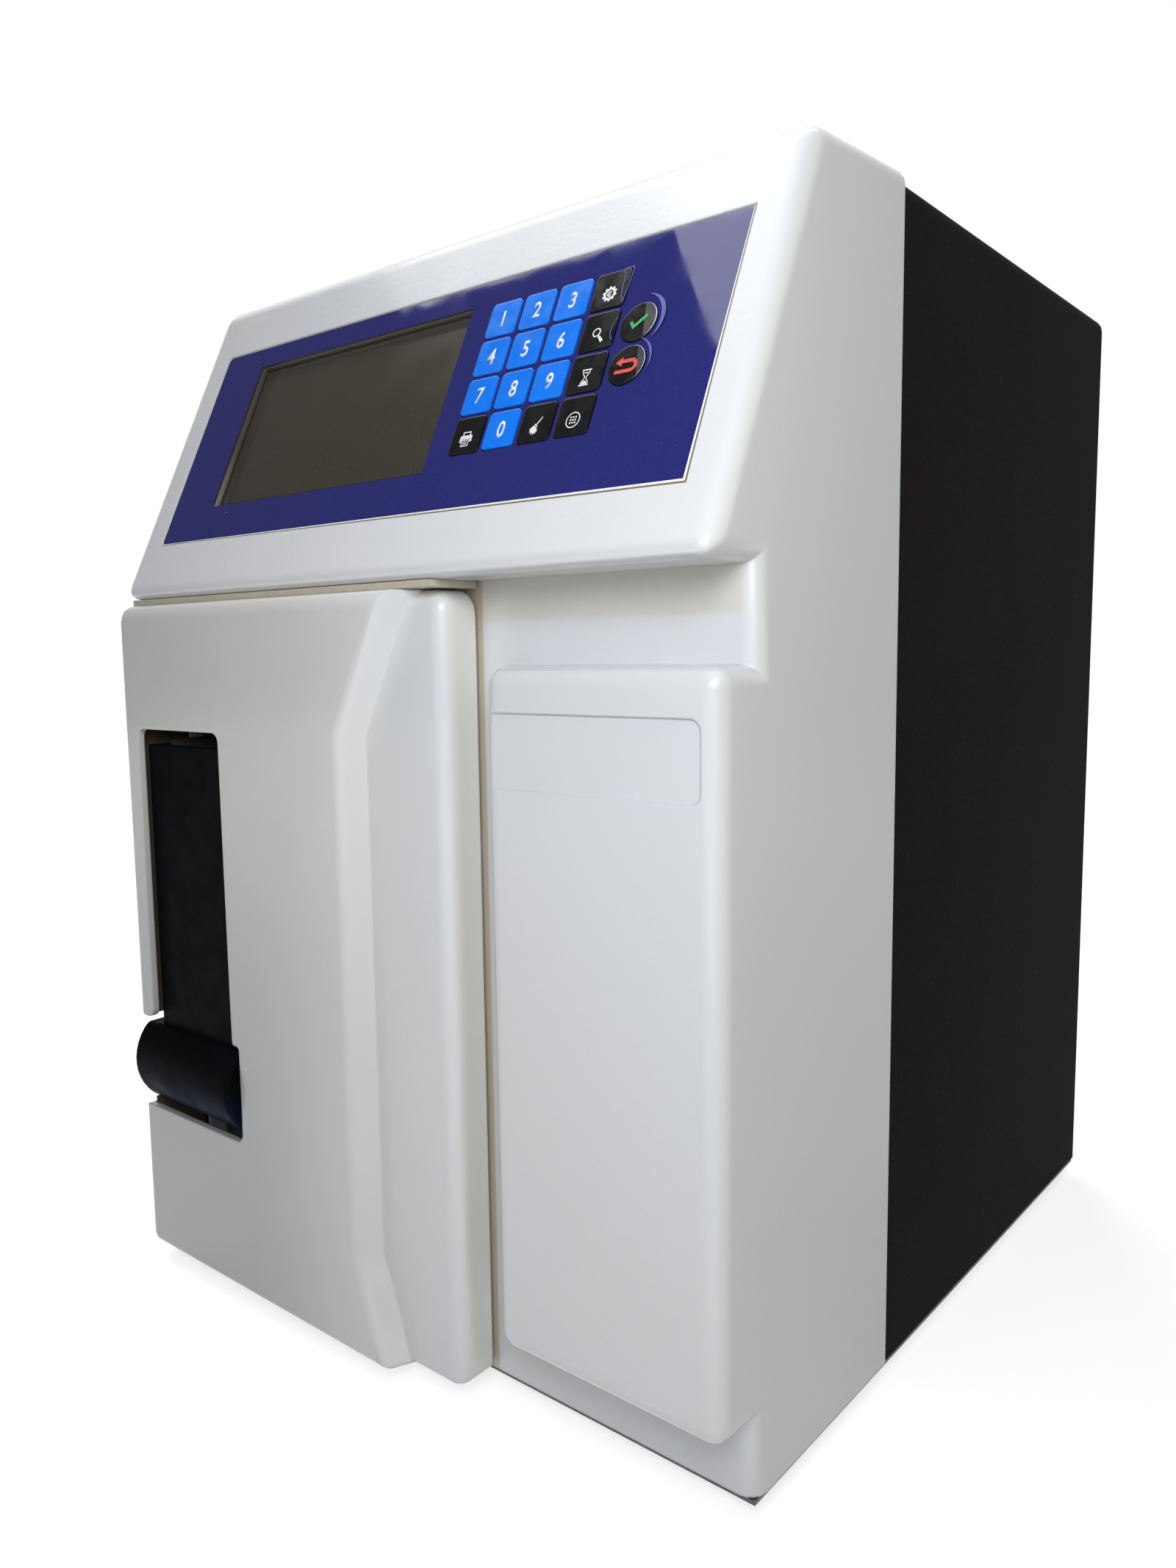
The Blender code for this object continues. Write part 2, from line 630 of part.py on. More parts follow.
def build_fascia():
    """White front housing: recessed wall with the bay, raised panel, hood and leaning control face."""
    fascia = outlines(
        "front_fascia", "X", [fascia_outline(0, 0)], (-HALF_WIDTH, HALF_WIDTH), body,
        material("front_fascia", IVORY, 0.28))
    soften(fascia, EDGE_ROUND, weigh=convex)

    panel = blocks(
        "panel_block", [(PANEL_LEFT, HALF_WIDTH, 0, SEAM_SET / 2, PANEL_FOOT, PANEL_TOP)], body)
    soften(panel, EDGE_ROUND)
    join(fascia, panel)

    below = blocks("foot_trim", [(
        -BODY_WIDTH, BODY_WIDTH, -OVERRUN, BODY_DEPTH, -BODY_HEIGHT, 0)], body)
    behind = blocks("seam_trim", [(
        -BODY_WIDTH, BODY_WIDTH, SEAM_SET, BODY_DEPTH, -BODY_HEIGHT, BODY_HEIGHT + OVERRUN)], body)
    inner_half = HALF_WIDTH - SHELL_WALL
    cavity = outlines(
        "shell_cavity", "X", [fascia_outline(SHELL_WALL, CAVITY_ROUND)], (-inner_half, inner_half), body)
    panel_cavity = blocks("panel_cavity", [(
        PANEL_LEFT + SHELL_WALL, inner_half, SHELL_WALL, WALL_BACK + EDGE_ROUND,
        PANEL_FOOT + SHELL_WALL, PANEL_TOP - SHELL_WALL)], body)
    join(cavity, panel_cavity)

    bay_cutter = blocks("bay_opening", [(
        BAY_LEFT, BAY_RIGHT, 0, WALL_BACK + OVERRUN, BAY_FOOT, BAY_TOP)], body)
    label = rounded(rectangle(
        PANEL_LEFT + LABEL_LEFT_MARGIN, HALF_WIDTH - LABEL_RIGHT_MARGIN,
        LABEL_TOP - LABEL_HEIGHT, LABEL_TOP), LABEL_ROUND)
    label_cutter = outlines("label_recess", "Y", [label], (-OVERRUN, LABEL_DEPTH), body)
    pin_hole = bars("hinge_hole", "Z", [(HINGE_X, HINGE_SET, 0)],
                    (DOOR_TOP - BOSS_HEIGHT, HOOD_UNDERSIDE + PIN_ENTRY + GAP), SLEEVE_RADIUS, body,
                    sides=PIN_SIDES)

    overlay_seat = blocks("overlay_seat", [(
        OVERLAY_LEFT - RUNNING_GAP, OVERLAY_RIGHT + RUNNING_GAP, OVERLAY_FOOT - RUNNING_GAP,
        OVERLAY_TOP + RUNNING_GAP, -RECESS_DEPTH, OVERRUN)], slope)
    window = blocks("screen_opening", [(
        SCREEN_LEFT, SCREEN_RIGHT, SCREEN_FOOT, SCREEN_TOP, -OVERRUN, OVERRUN)], slope)
    keys = list(key_outlines(KEYPAD_MARGIN).values())
    across = [point[0] for key in keys for point in key]
    along = [point[1] for key in keys for point in key]
    keypad = blocks("keypad_opening", [(
        min(across), max(across), min(along), max(along), -OVERRUN, OVERRUN)], slope)
    cut(fascia, cavity, bay_cutter, label_cutter, pin_hole, overlay_seat, window, keypad)
    cut(fascia, below, behind)


def build_controls():
    """Printed overlay, screen and keys on the leaning face."""
    sheet = rounded(
        rectangle(OVERLAY_LEFT, OVERLAY_RIGHT, OVERLAY_FOOT, OVERLAY_TOP), OVERLAY_ROUND)
    overlay_back = -OVERLAY_SINK - OVERLAY_THICK
    overlay = outlines("control_overlay", "Z", [sheet], (overlay_back, -OVERLAY_SINK), slope,
                       material("control_overlay", BLUE, 0.18))
    holes = outlines("key_holes", "Z", list(key_outlines(GAP).values()), (-OVERRUN, OVERRUN), slope)
    window = blocks("overlay_window", [(
        SCREEN_LEFT, SCREEN_RIGHT, SCREEN_FOOT, SCREEN_TOP, -OVERRUN, OVERRUN)], slope)
    cut(overlay, holes, window)

    for name, outline in key_outlines(0).items():
        colour = KEY_COLOURS.get(name, KEY_BLUE)
        outlines(name, "Z", [outline], (KEY_BACK, KEY_PROUD), slope, material(name, colour, 0.25))

    keys = list(key_outlines(BOARD_RIM).values())
    across = [point[0] for key in keys for point in key]
    along = [point[1] for key in keys for point in key]
    blocks("keypad_board", [(
        min(across), max(across), min(along), max(along), BOARD_FACE - BOARD_THICK, BOARD_FACE)],
        slope, material("keypad_board", BOARD_GREEN, 0.5))
    screen = blocks("lcd_screen", [(
        SCREEN_LEFT - SCREEN_RIM, SCREEN_RIGHT + SCREEN_RIM, SCREEN_FOOT - SCREEN_RIM,
        SCREEN_TOP + SCREEN_RIM, SCREEN_FACE - SCREEN_THICK, SCREEN_FACE)],
        slope, material("lcd_screen", SCREEN_GREY, 0.3))
    soften(screen, SCREEN_ROUND, 2)


def step_line(inset, spread):
    """Edge of the door's raised left part, bottom to top; spread moves it towards the hinge side."""
    line = STEP_X + spread - inset
    bends = [
        (line + STEP_FOOT_RUN * across_share, DOOR_FOOT + STEP_FOOT_RISE * up_share)
        for across_share, up_share in STEP_BEND_SHARES]
    return [(line + STEP_FOOT_RUN, DOOR_FOOT + inset), *bends] + [
        (line, DOOR_FOOT + STEP_FOOT_RISE), (line, DOOR_TOP - STEP_HEAD_DROP),
        (line + STEP_HEAD_RUN, DOOR_TOP - inset)]


def raised_part(name, inset, back, parent, look=None, origin=None):
    """Raised left part of the door: a loft whose right edge spreads towards the back."""
    front = -DOOR_FRONT + inset
    depth = (back - front) / (DOOR_FRONT + STRIP_SET)
    left = -HALF_WIDTH + inset
    shape = bmesh.new()
    rings = []
    for level, spread in ((front, 0), (back, STEP_SPREAD * depth)):
        outline = [(left, DOOR_TOP - inset), (left, DOOR_FOOT + inset)] + step_line(inset, spread)
        rings.append([shape.verts.new((x, level, z)) for x, z in outline])
    shape.faces.new(rings[0])
    shape.faces.new(rings[1][::-1])
    count = len(rings[0])
    for index in range(count):
        following = (index + 1) % count
        shape.faces.new((rings[0][index], rings[0][following], rings[1][following], rings[1][index]))
    return placed(name, shape, parent, (HINGE_X, HINGE_SET, 0) if origin is None else origin, look)


def door_shell(name, inset, back, look=None):
    """Door's outer form, or its hollow when it has an inset: the raised part joined to the slab."""
    corner = DOOR_CORNER - inset
    edge_share = (EDGE_ROUND - inset) / corner
    low_corner_share = (DOOR_LOW_CORNER - inset) / corner
    side_share = (DOOR_SIDE_ROUND - inset) / corner
    foot_share = (DOOR_FOOT_ROUND - inset) / corner
    origin = (HINGE_X, HINGE_SET, 0)
    shell = blocks(name, [(
        -HALF_WIDTH + inset, DOOR_RIGHT - inset, STRIP_SET + inset, back,
        DOOR_FOOT + inset, DOOR_TOP - inset)], body, look, origin)

    def slab_share(edge, place):
        """Front edges and the four corners are rounded, the back edges are not."""
        ends = [vert.co + place for vert in edge.verts]
        middle = (ends[0] + ends[1]) / 2
        if min(end.y for end in ends) > STRIP_SET + inset + WELD:
            return 0.0
        if abs(ends[0].y - ends[1].y) < WELD:
            return foot_share if max(end.z for end in ends) < DOOR_TOP / 2 else edge_share
        if middle.x < 0:
            return edge_share
        return 1.0 if middle.z > DOOR_TOP / 2 else low_corner_share

    def raised_share(edge, place):
        """Outer front edges are rounded fully, the step's edge half as much."""
        ends = [vert.co + place for vert in edge.verts]
        side = all(end.x < LEFT + inset + WELD for end in ends)
        if all(end.y > -DOOR_FRONT + inset + WELD for end in ends):
            return 0.0
        if any(end.y > -DOOR_FRONT + inset + WELD for end in ends):
            return edge_share if side else 0.0
        if side:
            return side_share
        if all(end.z < DOOR_FOOT + inset + WELD for end in ends):
            return foot_share
        return edge_share if all(end.z > DOOR_TOP - inset - WELD for end in ends) else edge_share / 2

    soften(shell, corner, weigh=slab_share)
    reach = back if inset else (STRIP_SET + DOOR_BACK) / 2
    raised = raised_part(name + "_raised", inset, reach, body)
    soften(raised, corner, weigh=raised_share)
    return join(shell, raised)


def build_door():
    """Hinged door with the sampler's slot, on two pins, held shut by a magnet."""
    door = door_shell("door", 0, DOOR_BACK, material("door", IVORY, 0.25))
    hollow = door_shell("door_hollow", DOOR_SKIN, DOOR_BACK + OVERRUN)
    cut(door, hollow)

    top_boss = bars("top_boss", "Z", [(HINGE_X, HINGE_SET, 0)],
                    (DOOR_TOP - BOSS_HEIGHT, DOOR_TOP - DOOR_SKIN / 2), BOSS_RADIUS, body)
    low_boss = bars("low_boss", "Z", [(HINGE_X, HINGE_SET, 0)],
                    (DOOR_FOOT + DOOR_SKIN / 2, DOOR_FOOT + BOSS_HEIGHT), BOSS_RADIUS, body)
    keeper = blocks("keeper", [(
        MAGNET_LEFT, MAGNET_RIGHT, STRIP_SET + DOOR_SKIN / 2, MAGNET_FACE - GAP,
        MAGNET_FOOT, MAGNET_TOP)], body)
    join(door, top_boss, low_boss, keeper)

    rim = -HALF_WIDTH - WELD
    flare = SLOT_ROUND + OVERRUN
    slot = rounded(
        [
            (rim - OVERRUN, SLOT_FOOT - flare), (rim, SLOT_FOOT - flare), (rim, SLOT_FOOT),
            (SLOT_WIDE_RIGHT, SLOT_FOOT), (SLOT_WIDE_RIGHT, SLOT_WAIST), (SLOT_RIGHT, SLOT_WAIST),
            (SLOT_RIGHT, SLOT_TOP), (SLOT_LEFT, SLOT_TOP), (SLOT_LEFT, SLOT_WAIST),
            (rim, SLOT_WAIST), (rim, SLOT_WAIST + flare), (rim - OVERRUN, SLOT_WAIST + flare),
        ],
        (0, 0, SLOT_ROUND, SLOT_ROUND, SLOT_STEP_ROUND, SLOT_STEP_ROUND,
         SLOT_ROUND, SLOT_ROUND, SLOT_ROUND, SLOT_ROUND, 0, 0))
    slot_cutter = outlines("slot_opening", "Y", [slot], (-OVERRUN, DOOR_BACK + OVERRUN), body)
    top_sleeve = bars("pin_sleeve_top", "Z", [(HINGE_X, HINGE_SET, 0)],
                      (HOOD_UNDERSIDE - BOSS_HEIGHT + GAP, HOOD_UNDERSIDE), SLEEVE_RADIUS, body,
                      sides=PIN_SIDES)
    low_sleeve = bars("pin_sleeve_low", "Z", [(HINGE_X, HINGE_SET, 0)],
                      (-OVERRUN, DOOR_FOOT + BOSS_HEIGHT - DOOR_SKIN), SLEEVE_RADIUS, body, sides=PIN_SIDES)
    cut(door, slot_cutter, top_sleeve, low_sleeve)
    hang(door, door_hinge)

    steel = material("door_hinge_pin_upper", STEEL, 0.3, 1.0)
    bars("door_hinge_pin_upper", "Z", [(HINGE_X, HINGE_SET, 0)],
         (HOOD_UNDERSIDE - BOSS_HEIGHT + 2 * GAP, HOOD_UNDERSIDE + PIN_ENTRY), PIN_RADIUS, body, steel,
         sides=PIN_SIDES)
    head_top = BASE_UNDERSIDE - GAP
    low_pin = bars("door_hinge_pin_lower", "Z", [(HINGE_X, HINGE_SET, 0)],
                   (head_top - PIN_HEAD_THICK / 2, DOOR_FOOT + BOSS_HEIGHT - DOOR_SKIN - GAP), PIN_RADIUS,
                   body, material("door_hinge_pin_lower", STEEL, 0.3, 1.0), sides=PIN_SIDES)
    head = bars("pin_head", "Z", [(HINGE_X, HINGE_SET, 0)], (head_top - PIN_HEAD_THICK, head_top),
                PIN_HEAD_RADIUS, body, sides=PIN_SIDES)
    join(low_pin, head)

    magnet = blocks("door_magnet", [(
        MAGNET_LEFT, MAGNET_RIGHT, MAGNET_FACE, WALL_SET - GAP, MAGNET_FOOT, MAGNET_TOP)],
        body, material("door_magnet", DARK_STEEL, 0.4, 0.6))
    soften(magnet, RUNNING_GAP, 1)


def hang(item, pivot):
    """Gives a piece to the empty on its joint's axis, where its own origin lies too."""
    item.location = item.location - pivot.location
    item.parent = pivot
    return item


def build_sampler():
    """Lever with a rounded grip on a pivot pin, its bracket and the sampling needle behind it."""
    black = material("sampler_lever", LEVER_BLACK, 0.22)
    pivot = ((GRIP_LEFT + GRIP_RIGHT) / 2, LEVER_PIVOT_SET, PIVOT_HEIGHT)
    left = SLOT_LEFT + RUNNING_GAP
    right = SLOT_RIGHT - RUNNING_GAP
    sampler = empty("sampler_pivot", pivot, body)

    centre = (GRIP_SET, GRIP_HEIGHT)
    high_angle = math.degrees(math.asin((GRIP_TOP - GRIP_HEIGHT) / GRIP_RADIUS))
    grip_side = arc(centre, GRIP_RADIUS, 180 - high_angle, 180 + GRIP_LOW_ANGLE)
    grip_side += [(GRIP_SET, GRIP_TAIL), (GRIP_SET, GRIP_TOP)]
    lever = outlines("sampler_lever", "X", [grip_side], (GRIP_LEFT, GRIP_RIGHT), body, black, pivot)
    soften(lever, GRIP_ROUND, 3)

    inner_high = math.degrees(math.asin((GRIP_TOP - GRIP_WALL - GRIP_HEIGHT) / (GRIP_RADIUS - GRIP_WALL)))
    hollow_side = arc(centre, GRIP_RADIUS - GRIP_WALL, 180 - inner_high, 180 + GRIP_LOW_ANGLE)
    hollow_side += [
        (GRIP_SET, GRIP_TAIL + GRIP_WALL), (GRIP_SET + OVERRUN, GRIP_TAIL + GRIP_WALL),
        (GRIP_SET + OVERRUN, GRIP_TOP - GRIP_WALL)]
    hollow = outlines("grip_hollow", "X", [hollow_side],
                      (GRIP_LEFT + GRIP_WALL, GRIP_RIGHT - GRIP_WALL), body)
    cut(lever, hollow)

    blade = blocks("lever_blade", [(
        left, right, -LEVER_FACE, -LEVER_FACE + LEVER_THICK, GRIP_TOP - GRIP_WALL / 2, LEVER_TOP)], body)
    ear_side = rounded(
        rectangle(-LEVER_FACE + LEVER_THICK / 2, EAR_BACK, PIVOT_HEIGHT - EAR_DROP, LEVER_TOP),
        (0, EAR_THICK, EAR_THICK, 0))
    left_ear = outlines("left_ear", "X", [ear_side], (left, left + EAR_THICK), body)
    right_ear = outlines("right_ear", "X", [ear_side], (right - EAR_THICK, right), body)
    join(lever, blade, left_ear, right_ear)
    probe_set = -LEVER_FACE + LEVER_THICK + RUNNING_GAP + PROBE_RADIUS
    probe_hole = bars("probe_hole", "Z", [(PROBE_X, probe_set, 0)], (GRIP_HEIGHT, GRIP_TOP + GRIP_WALL),
                      PROBE_RADIUS + GAP, body, sides=PIN_SIDES)
    bore = bars("ear_bore", "X", [(0, LEVER_PIVOT_SET, PIVOT_HEIGHT)],
                (left - OVERRUN, right + OVERRUN), SLEEVE_RADIUS, body, sides=PIN_SIDES)
    cut(lever, bore, probe_hole)
    hang(lever, sampler)

    probe = bars("sample_probe", "Z", [(PROBE_X, probe_set, 0)],
                 (SLOT_FOOT + PROBE_FOOT_RISE, PIVOT_HEIGHT - PROBE_DROP), PROBE_RADIUS,
                 body, material("sample_probe", STEEL, 0.25, 1.0), pivot, PIN_SIDES)
    hang(probe, sampler)

    arm_left = left + EAR_THICK + RUNNING_GAP
    arm_right = right - EAR_THICK - RUNNING_GAP
    rear = PLATE_SET - GAP
    bracket = blocks("sampler_bracket", [(
        arm_left, arm_right, rear - BRACKET_THICK, rear, PIVOT_HEIGHT - BRACKET_DROP,
        PIVOT_HEIGHT + BRACKET_RISE)],
        body, material("sampler_bracket", DARK_STEEL, 0.45, 0.8))
    arm_side = rounded(
        rectangle(LEVER_PIVOT_SET - ARM_NOSE, rear - BRACKET_THICK / 2,
                  PIVOT_HEIGHT - ARM_HALF_HEIGHT, PIVOT_HEIGHT + ARM_HALF_HEIGHT),
        (ARM_THICK, 0, 0, ARM_THICK))
    arms = [
        outlines("left_arm", "X", [arm_side], (arm_left, arm_left + ARM_THICK), body),
        outlines("right_arm", "X", [arm_side], (arm_right - ARM_THICK, arm_right), body),
    ]
    join(bracket, *arms)
    cut(bracket, bore)
    bars("sampler_pivot_pin", "X", [(0, LEVER_PIVOT_SET, PIVOT_HEIGHT)],
         (left + GAP, right - GAP), PIN_RADIUS, body, material("sampler_pivot_pin", STEEL, 0.3, 1.0),
         sides=PIN_SIDES)


def build_bay():
    """Instrument plate behind the door, with measuring cells, pump and reagent pack."""
    plate = blocks("instrument_plate", [(
        PLATE_LEFT, PLATE_LEFT + PLATE_WIDTH, PLATE_SET, PLATE_SET + PLATE_THICK, 0,
        HOOD_UNDERSIDE - PLATE_HEAD_GAP)],
        body, material("instrument_plate", BROWN_GREY, 0.6))
    shelf = blocks("pack_shelf", [(
        CARRIER_LEFT - SHELF_OVERHANG, PACK_RIGHT + SHELF_OVERHANG, SHELF_SET, PLATE_SET + PLATE_THICK / 2,
        SHELF_FOOT, SHELF_FOOT + SHELF_THICK)], body)
    join(plate, shelf)

    front = PLATE_SET - GAP
    pack_foot = SHELF_FOOT + SHELF_THICK + GAP
    pack = blocks("reagent_pack", [(
        CARRIER_LEFT, PACK_RIGHT, SHELF_SET, front, pack_foot, pack_foot + PACK_HEIGHT)],
        body, material("reagent_pack", LABEL_WHITE, 0.5))
    soften(pack, PACK_ROUND, 2)

    cells_top = CARRIER_FOOT + CARRIER_WALL + CELL_COUNT * (CELL_HEIGHT + GAP) + REFERENCE_HEIGHT + 2 * GAP
    carrier = blocks("electrode_carrier", [(
        CARRIER_LEFT, CARRIER_RIGHT, CARRIER_SET, front, CARRIER_FOOT, cells_top + CARRIER_WALL)],
        body, material("electrode_carrier", CLEAR_GREY, 0.3))
    soften(carrier, CELL_ROUND, 2)
    pocket = blocks("cell_pocket", [(
        CARRIER_LEFT + CARRIER_WALL, CARRIER_RIGHT - CARRIER_WALL, CARRIER_SET - OVERRUN,
        front - CARRIER_WALL, CARRIER_FOOT + CARRIER_WALL, cells_top)], body)
    cut(carrier, pocket)

    foot = CARRIER_FOOT + CARRIER_WALL + GAP
    for number in range(1, CELL_COUNT + 2):
        reference = number > CELL_COUNT
        name = "reference_electrode" if reference else "electrode_%d" % number
        height = REFERENCE_HEIGHT if reference else CELL_HEIGHT
        cell = blocks(name, [(
            CARRIER_LEFT + CARRIER_WALL + GAP, CARRIER_RIGHT - CARRIER_WALL - GAP, CELL_SET,
            front - CARRIER_WALL - GAP, foot, foot + height)],
            body, material(name, CLEAR_GREY, 0.15))
        soften(cell, CELL_ROUND, 1)
        lens = bars(name + "_lens", "Y", [((CARRIER_LEFT + CARRIER_RIGHT) / 2, 0, foot + height / 2)],
                    (CELL_SET - CELL_LENS_DEPTH, CELL_SET + CELL_ROUND), CELL_LENS_RADIUS, body)
        join(cell, lens)
        foot += height + GAP


def build_pump():
    """Peristaltic pump: track, hose and a rotor with free rollers."""
    face = PLATE_SET - GAP - PUMP_BASE_THICK
    hub = (PUMP_X, 0, PUMP_HEIGHT)
    base = bars("pump_base", "Y", [hub], (face, PLATE_SET - GAP), PUMP_BASE_RADIUS, body,
                material("pump_base", BLACK, 0.5))
    leg = PUMP_HEIGHT - PUMP_TRACK_LEG
    track = arc((PUMP_X, PUMP_HEIGHT), PUMP_BASE_RADIUS, 0, 180) + [
        (PUMP_X - PUMP_BASE_RADIUS, leg), (PUMP_X - PUMP_TRACK_RADIUS, leg)]
    track += arc((PUMP_X, PUMP_HEIGHT), PUMP_TRACK_RADIUS, 180, 0) + [
        (PUMP_X + PUMP_TRACK_RADIUS, leg), (PUMP_X + PUMP_BASE_RADIUS, leg)]
    join(base, outlines("pump_track", "Y", [track], (face - PUMP_TRACK_DEPTH, face + GAP), body))

    pivot = empty("pump_axis", (PUMP_X, face, PUMP_HEIGHT), body)
    span = (face - GAP - ROTOR_THICK, face - GAP)
    rotor = bars("pump_rotor", "Y", [hub], span, ROTOR_RADIUS, body,
                 material("pump_rotor", LABEL_WHITE, 0.4), pivot.location)
    orbits = []
    for number in range(ROLLER_COUNT):
        turn = math.radians(90 + 360 * number / ROLLER_COUNT)
        orbits.append((
            PUMP_X + ROLLER_ORBIT * math.cos(turn), 0, PUMP_HEIGHT + ROLLER_ORBIT * math.sin(turn)))
    notches = bars("roller_notches", "Y", orbits, (span[0] - OVERRUN, span[1] + GAP / 2),
                   ROLLER_RADIUS + GAP, body)
    cut(rotor, notches)
    hang(rotor, pivot)
    for number, orbit in enumerate(orbits, 1):
        name = "pump_roller_%d" % number
        roller = bars(name, "Y", [orbit], (span[0] + GAP, span[1] - GAP), ROLLER_RADIUS, body,
                      material(name, STEEL, 0.35, 1.0))
        hang(roller, pivot)

    hose_orbit = PUMP_TRACK_RADIUS - GAP - HOSE_RADIUS
    route = arc((0, 0), hose_orbit, 0, 180)
    route = [(hose_orbit, -HOSE_TAIL)] + route + [(-hose_orbit, -HOSE_TAIL)]
    curve = bpy.data.curves.new("pump_hose", "CURVE")
    curve.dimensions = "3D"
    curve.bevel_depth = HOSE_RADIUS
    curve.bevel_resolution = 2
    curve.use_fill_caps = True
    curve.materials.append(material("pump_hose", PAPER, 0.5))
    spline = curve.splines.new("POLY")
    spline.points.add(len(route) - 1)
    for point, (across, up) in zip(spline.points, route):
        point.co = (across, 0, up, 1)
    hose = bpy.data.objects.new("pump_hose", curve)
    parts.objects.link(hose)
    hose.parent = body
    hose.location = (PUMP_X, sum(span) / 2, PUMP_HEIGHT)


def build_rear():
    """Black rear housing, back panel, base plate and feet."""
    inner = REAR_HALF - REAR_WALL
    ceiling = REAR_TOP - REAR_WALL
    inner_round = EDGE_ROUND - REAR_WALL
    arch = rounded(
        [(-REAR_HALF, 0), (-REAR_HALF, REAR_TOP), (REAR_HALF, REAR_TOP), (REAR_HALF, 0),
         (inner, 0), (inner, ceiling), (-inner, ceiling), (-inner, 0)],
        (0, EDGE_ROUND, EDGE_ROUND, 0, 0, inner_round, inner_round, 0))
    housing = outlines("rear_housing", "Y", [arch], (SEAM_SET + GAP, BODY_DEPTH), body,
                       material("rear_housing", BLACK, 0.55))
    mouth = blocks("printer_mouth", [(
        -PRINTER_HALF_WIDTH, PRINTER_HALF_WIDTH, PRINTER_FRONT, PRINTER_BACK,
        ceiling - OVERRUN, REAR_TOP + OVERRUN)], body)
    cut(housing, mouth)

    back_half = inner - GAP
    back = outlines(
        "back_panel", "Y",
        [rounded(rectangle(-back_half, back_half, 0, ceiling - GAP), (0, 0, inner_round, inner_round))],
        (BACK_FACE - BACK_THICK, BACK_FACE), body, material("back_panel", BLACK, 0.5))
    first = -BACK_SLOT_X - (BACK_SLOT_COUNT - 1) / 2 * BACK_SLOT_PITCH
    slots = []
    for number in range(BACK_SLOT_COUNT):
        middle = first + number * BACK_SLOT_PITCH
        slots.append(rounded(rectangle(
            middle - BACK_SLOT_WIDTH / 2, middle + BACK_SLOT_WIDTH / 2,
            BACK_SLOT_FOOT, BACK_SLOT_FOOT + BACK_SLOT_HEIGHT), BACK_SLOT_ROUND))
    through = (BACK_FACE - OVERRUN, BACK_FACE + OVERRUN)
    vents = outlines("vent_slots", "Y", slots, through, body)
    switch_height = INLET_HEIGHT + SWITCH_RISE
    ports = blocks("back_cutouts", [
        (INLET_X - INLET_HALF_WIDTH - GAP, INLET_X + INLET_HALF_WIDTH + GAP, *through,
         INLET_HEIGHT - INLET_HALF_HEIGHT - GAP, INLET_HEIGHT + INLET_HALF_HEIGHT + GAP),
        (INLET_X - SWITCH_HALF_WIDTH - GAP, INLET_X + SWITCH_HALF_WIDTH + GAP, *through,
         switch_height - SWITCH_HALF_HEIGHT - GAP, switch_height + SWITCH_HALF_HEIGHT + GAP),
    ], body)
    cut(back, vents, ports)

    edge = HALF_WIDTH - BASE_INSET
    front = WALL_SET + BASE_INSET
    plan = [
        (-edge, TONGUE_FRONT), (-edge + TONGUE_WIDTH, TONGUE_FRONT), (-edge + TONGUE_WIDTH, front),
        (edge, front),
        (edge, BODY_DEPTH - BASE_INSET), (-edge, BODY_DEPTH - BASE_INSET)]
    base = outlines("base_plate", "Z", [plan], (BASE_UNDERSIDE, BASE_TOP), body,
                    material("base_plate", DARK_STEEL, 0.5, 0.7))
    cut(base, bars("tongue_hole", "Z", [(HINGE_X, HINGE_SET, 0)],
                   (BASE_UNDERSIDE - OVERRUN, BASE_TOP + OVERRUN), SLEEVE_RADIUS, body, sides=PIN_SIDES))

    for side, sign in (("left", -1), ("right", 1)):
        for end, place in (("front", FOOT_FRONT_SET), ("back", BODY_DEPTH - FOOT_BACK_SET)):
            name = "foot_%s_%s" % (end, side)
            bars(name, "Z", [(sign * (HALF_WIDTH - FOOT_SIDE_SET), place, 0)],
                 (GROUND, GROUND + FOOT_HEIGHT), FOOT_RADIUS - FOOT_TAPER, body,
                 material(name, RUBBER, 0.9), tip=FOOT_RADIUS)


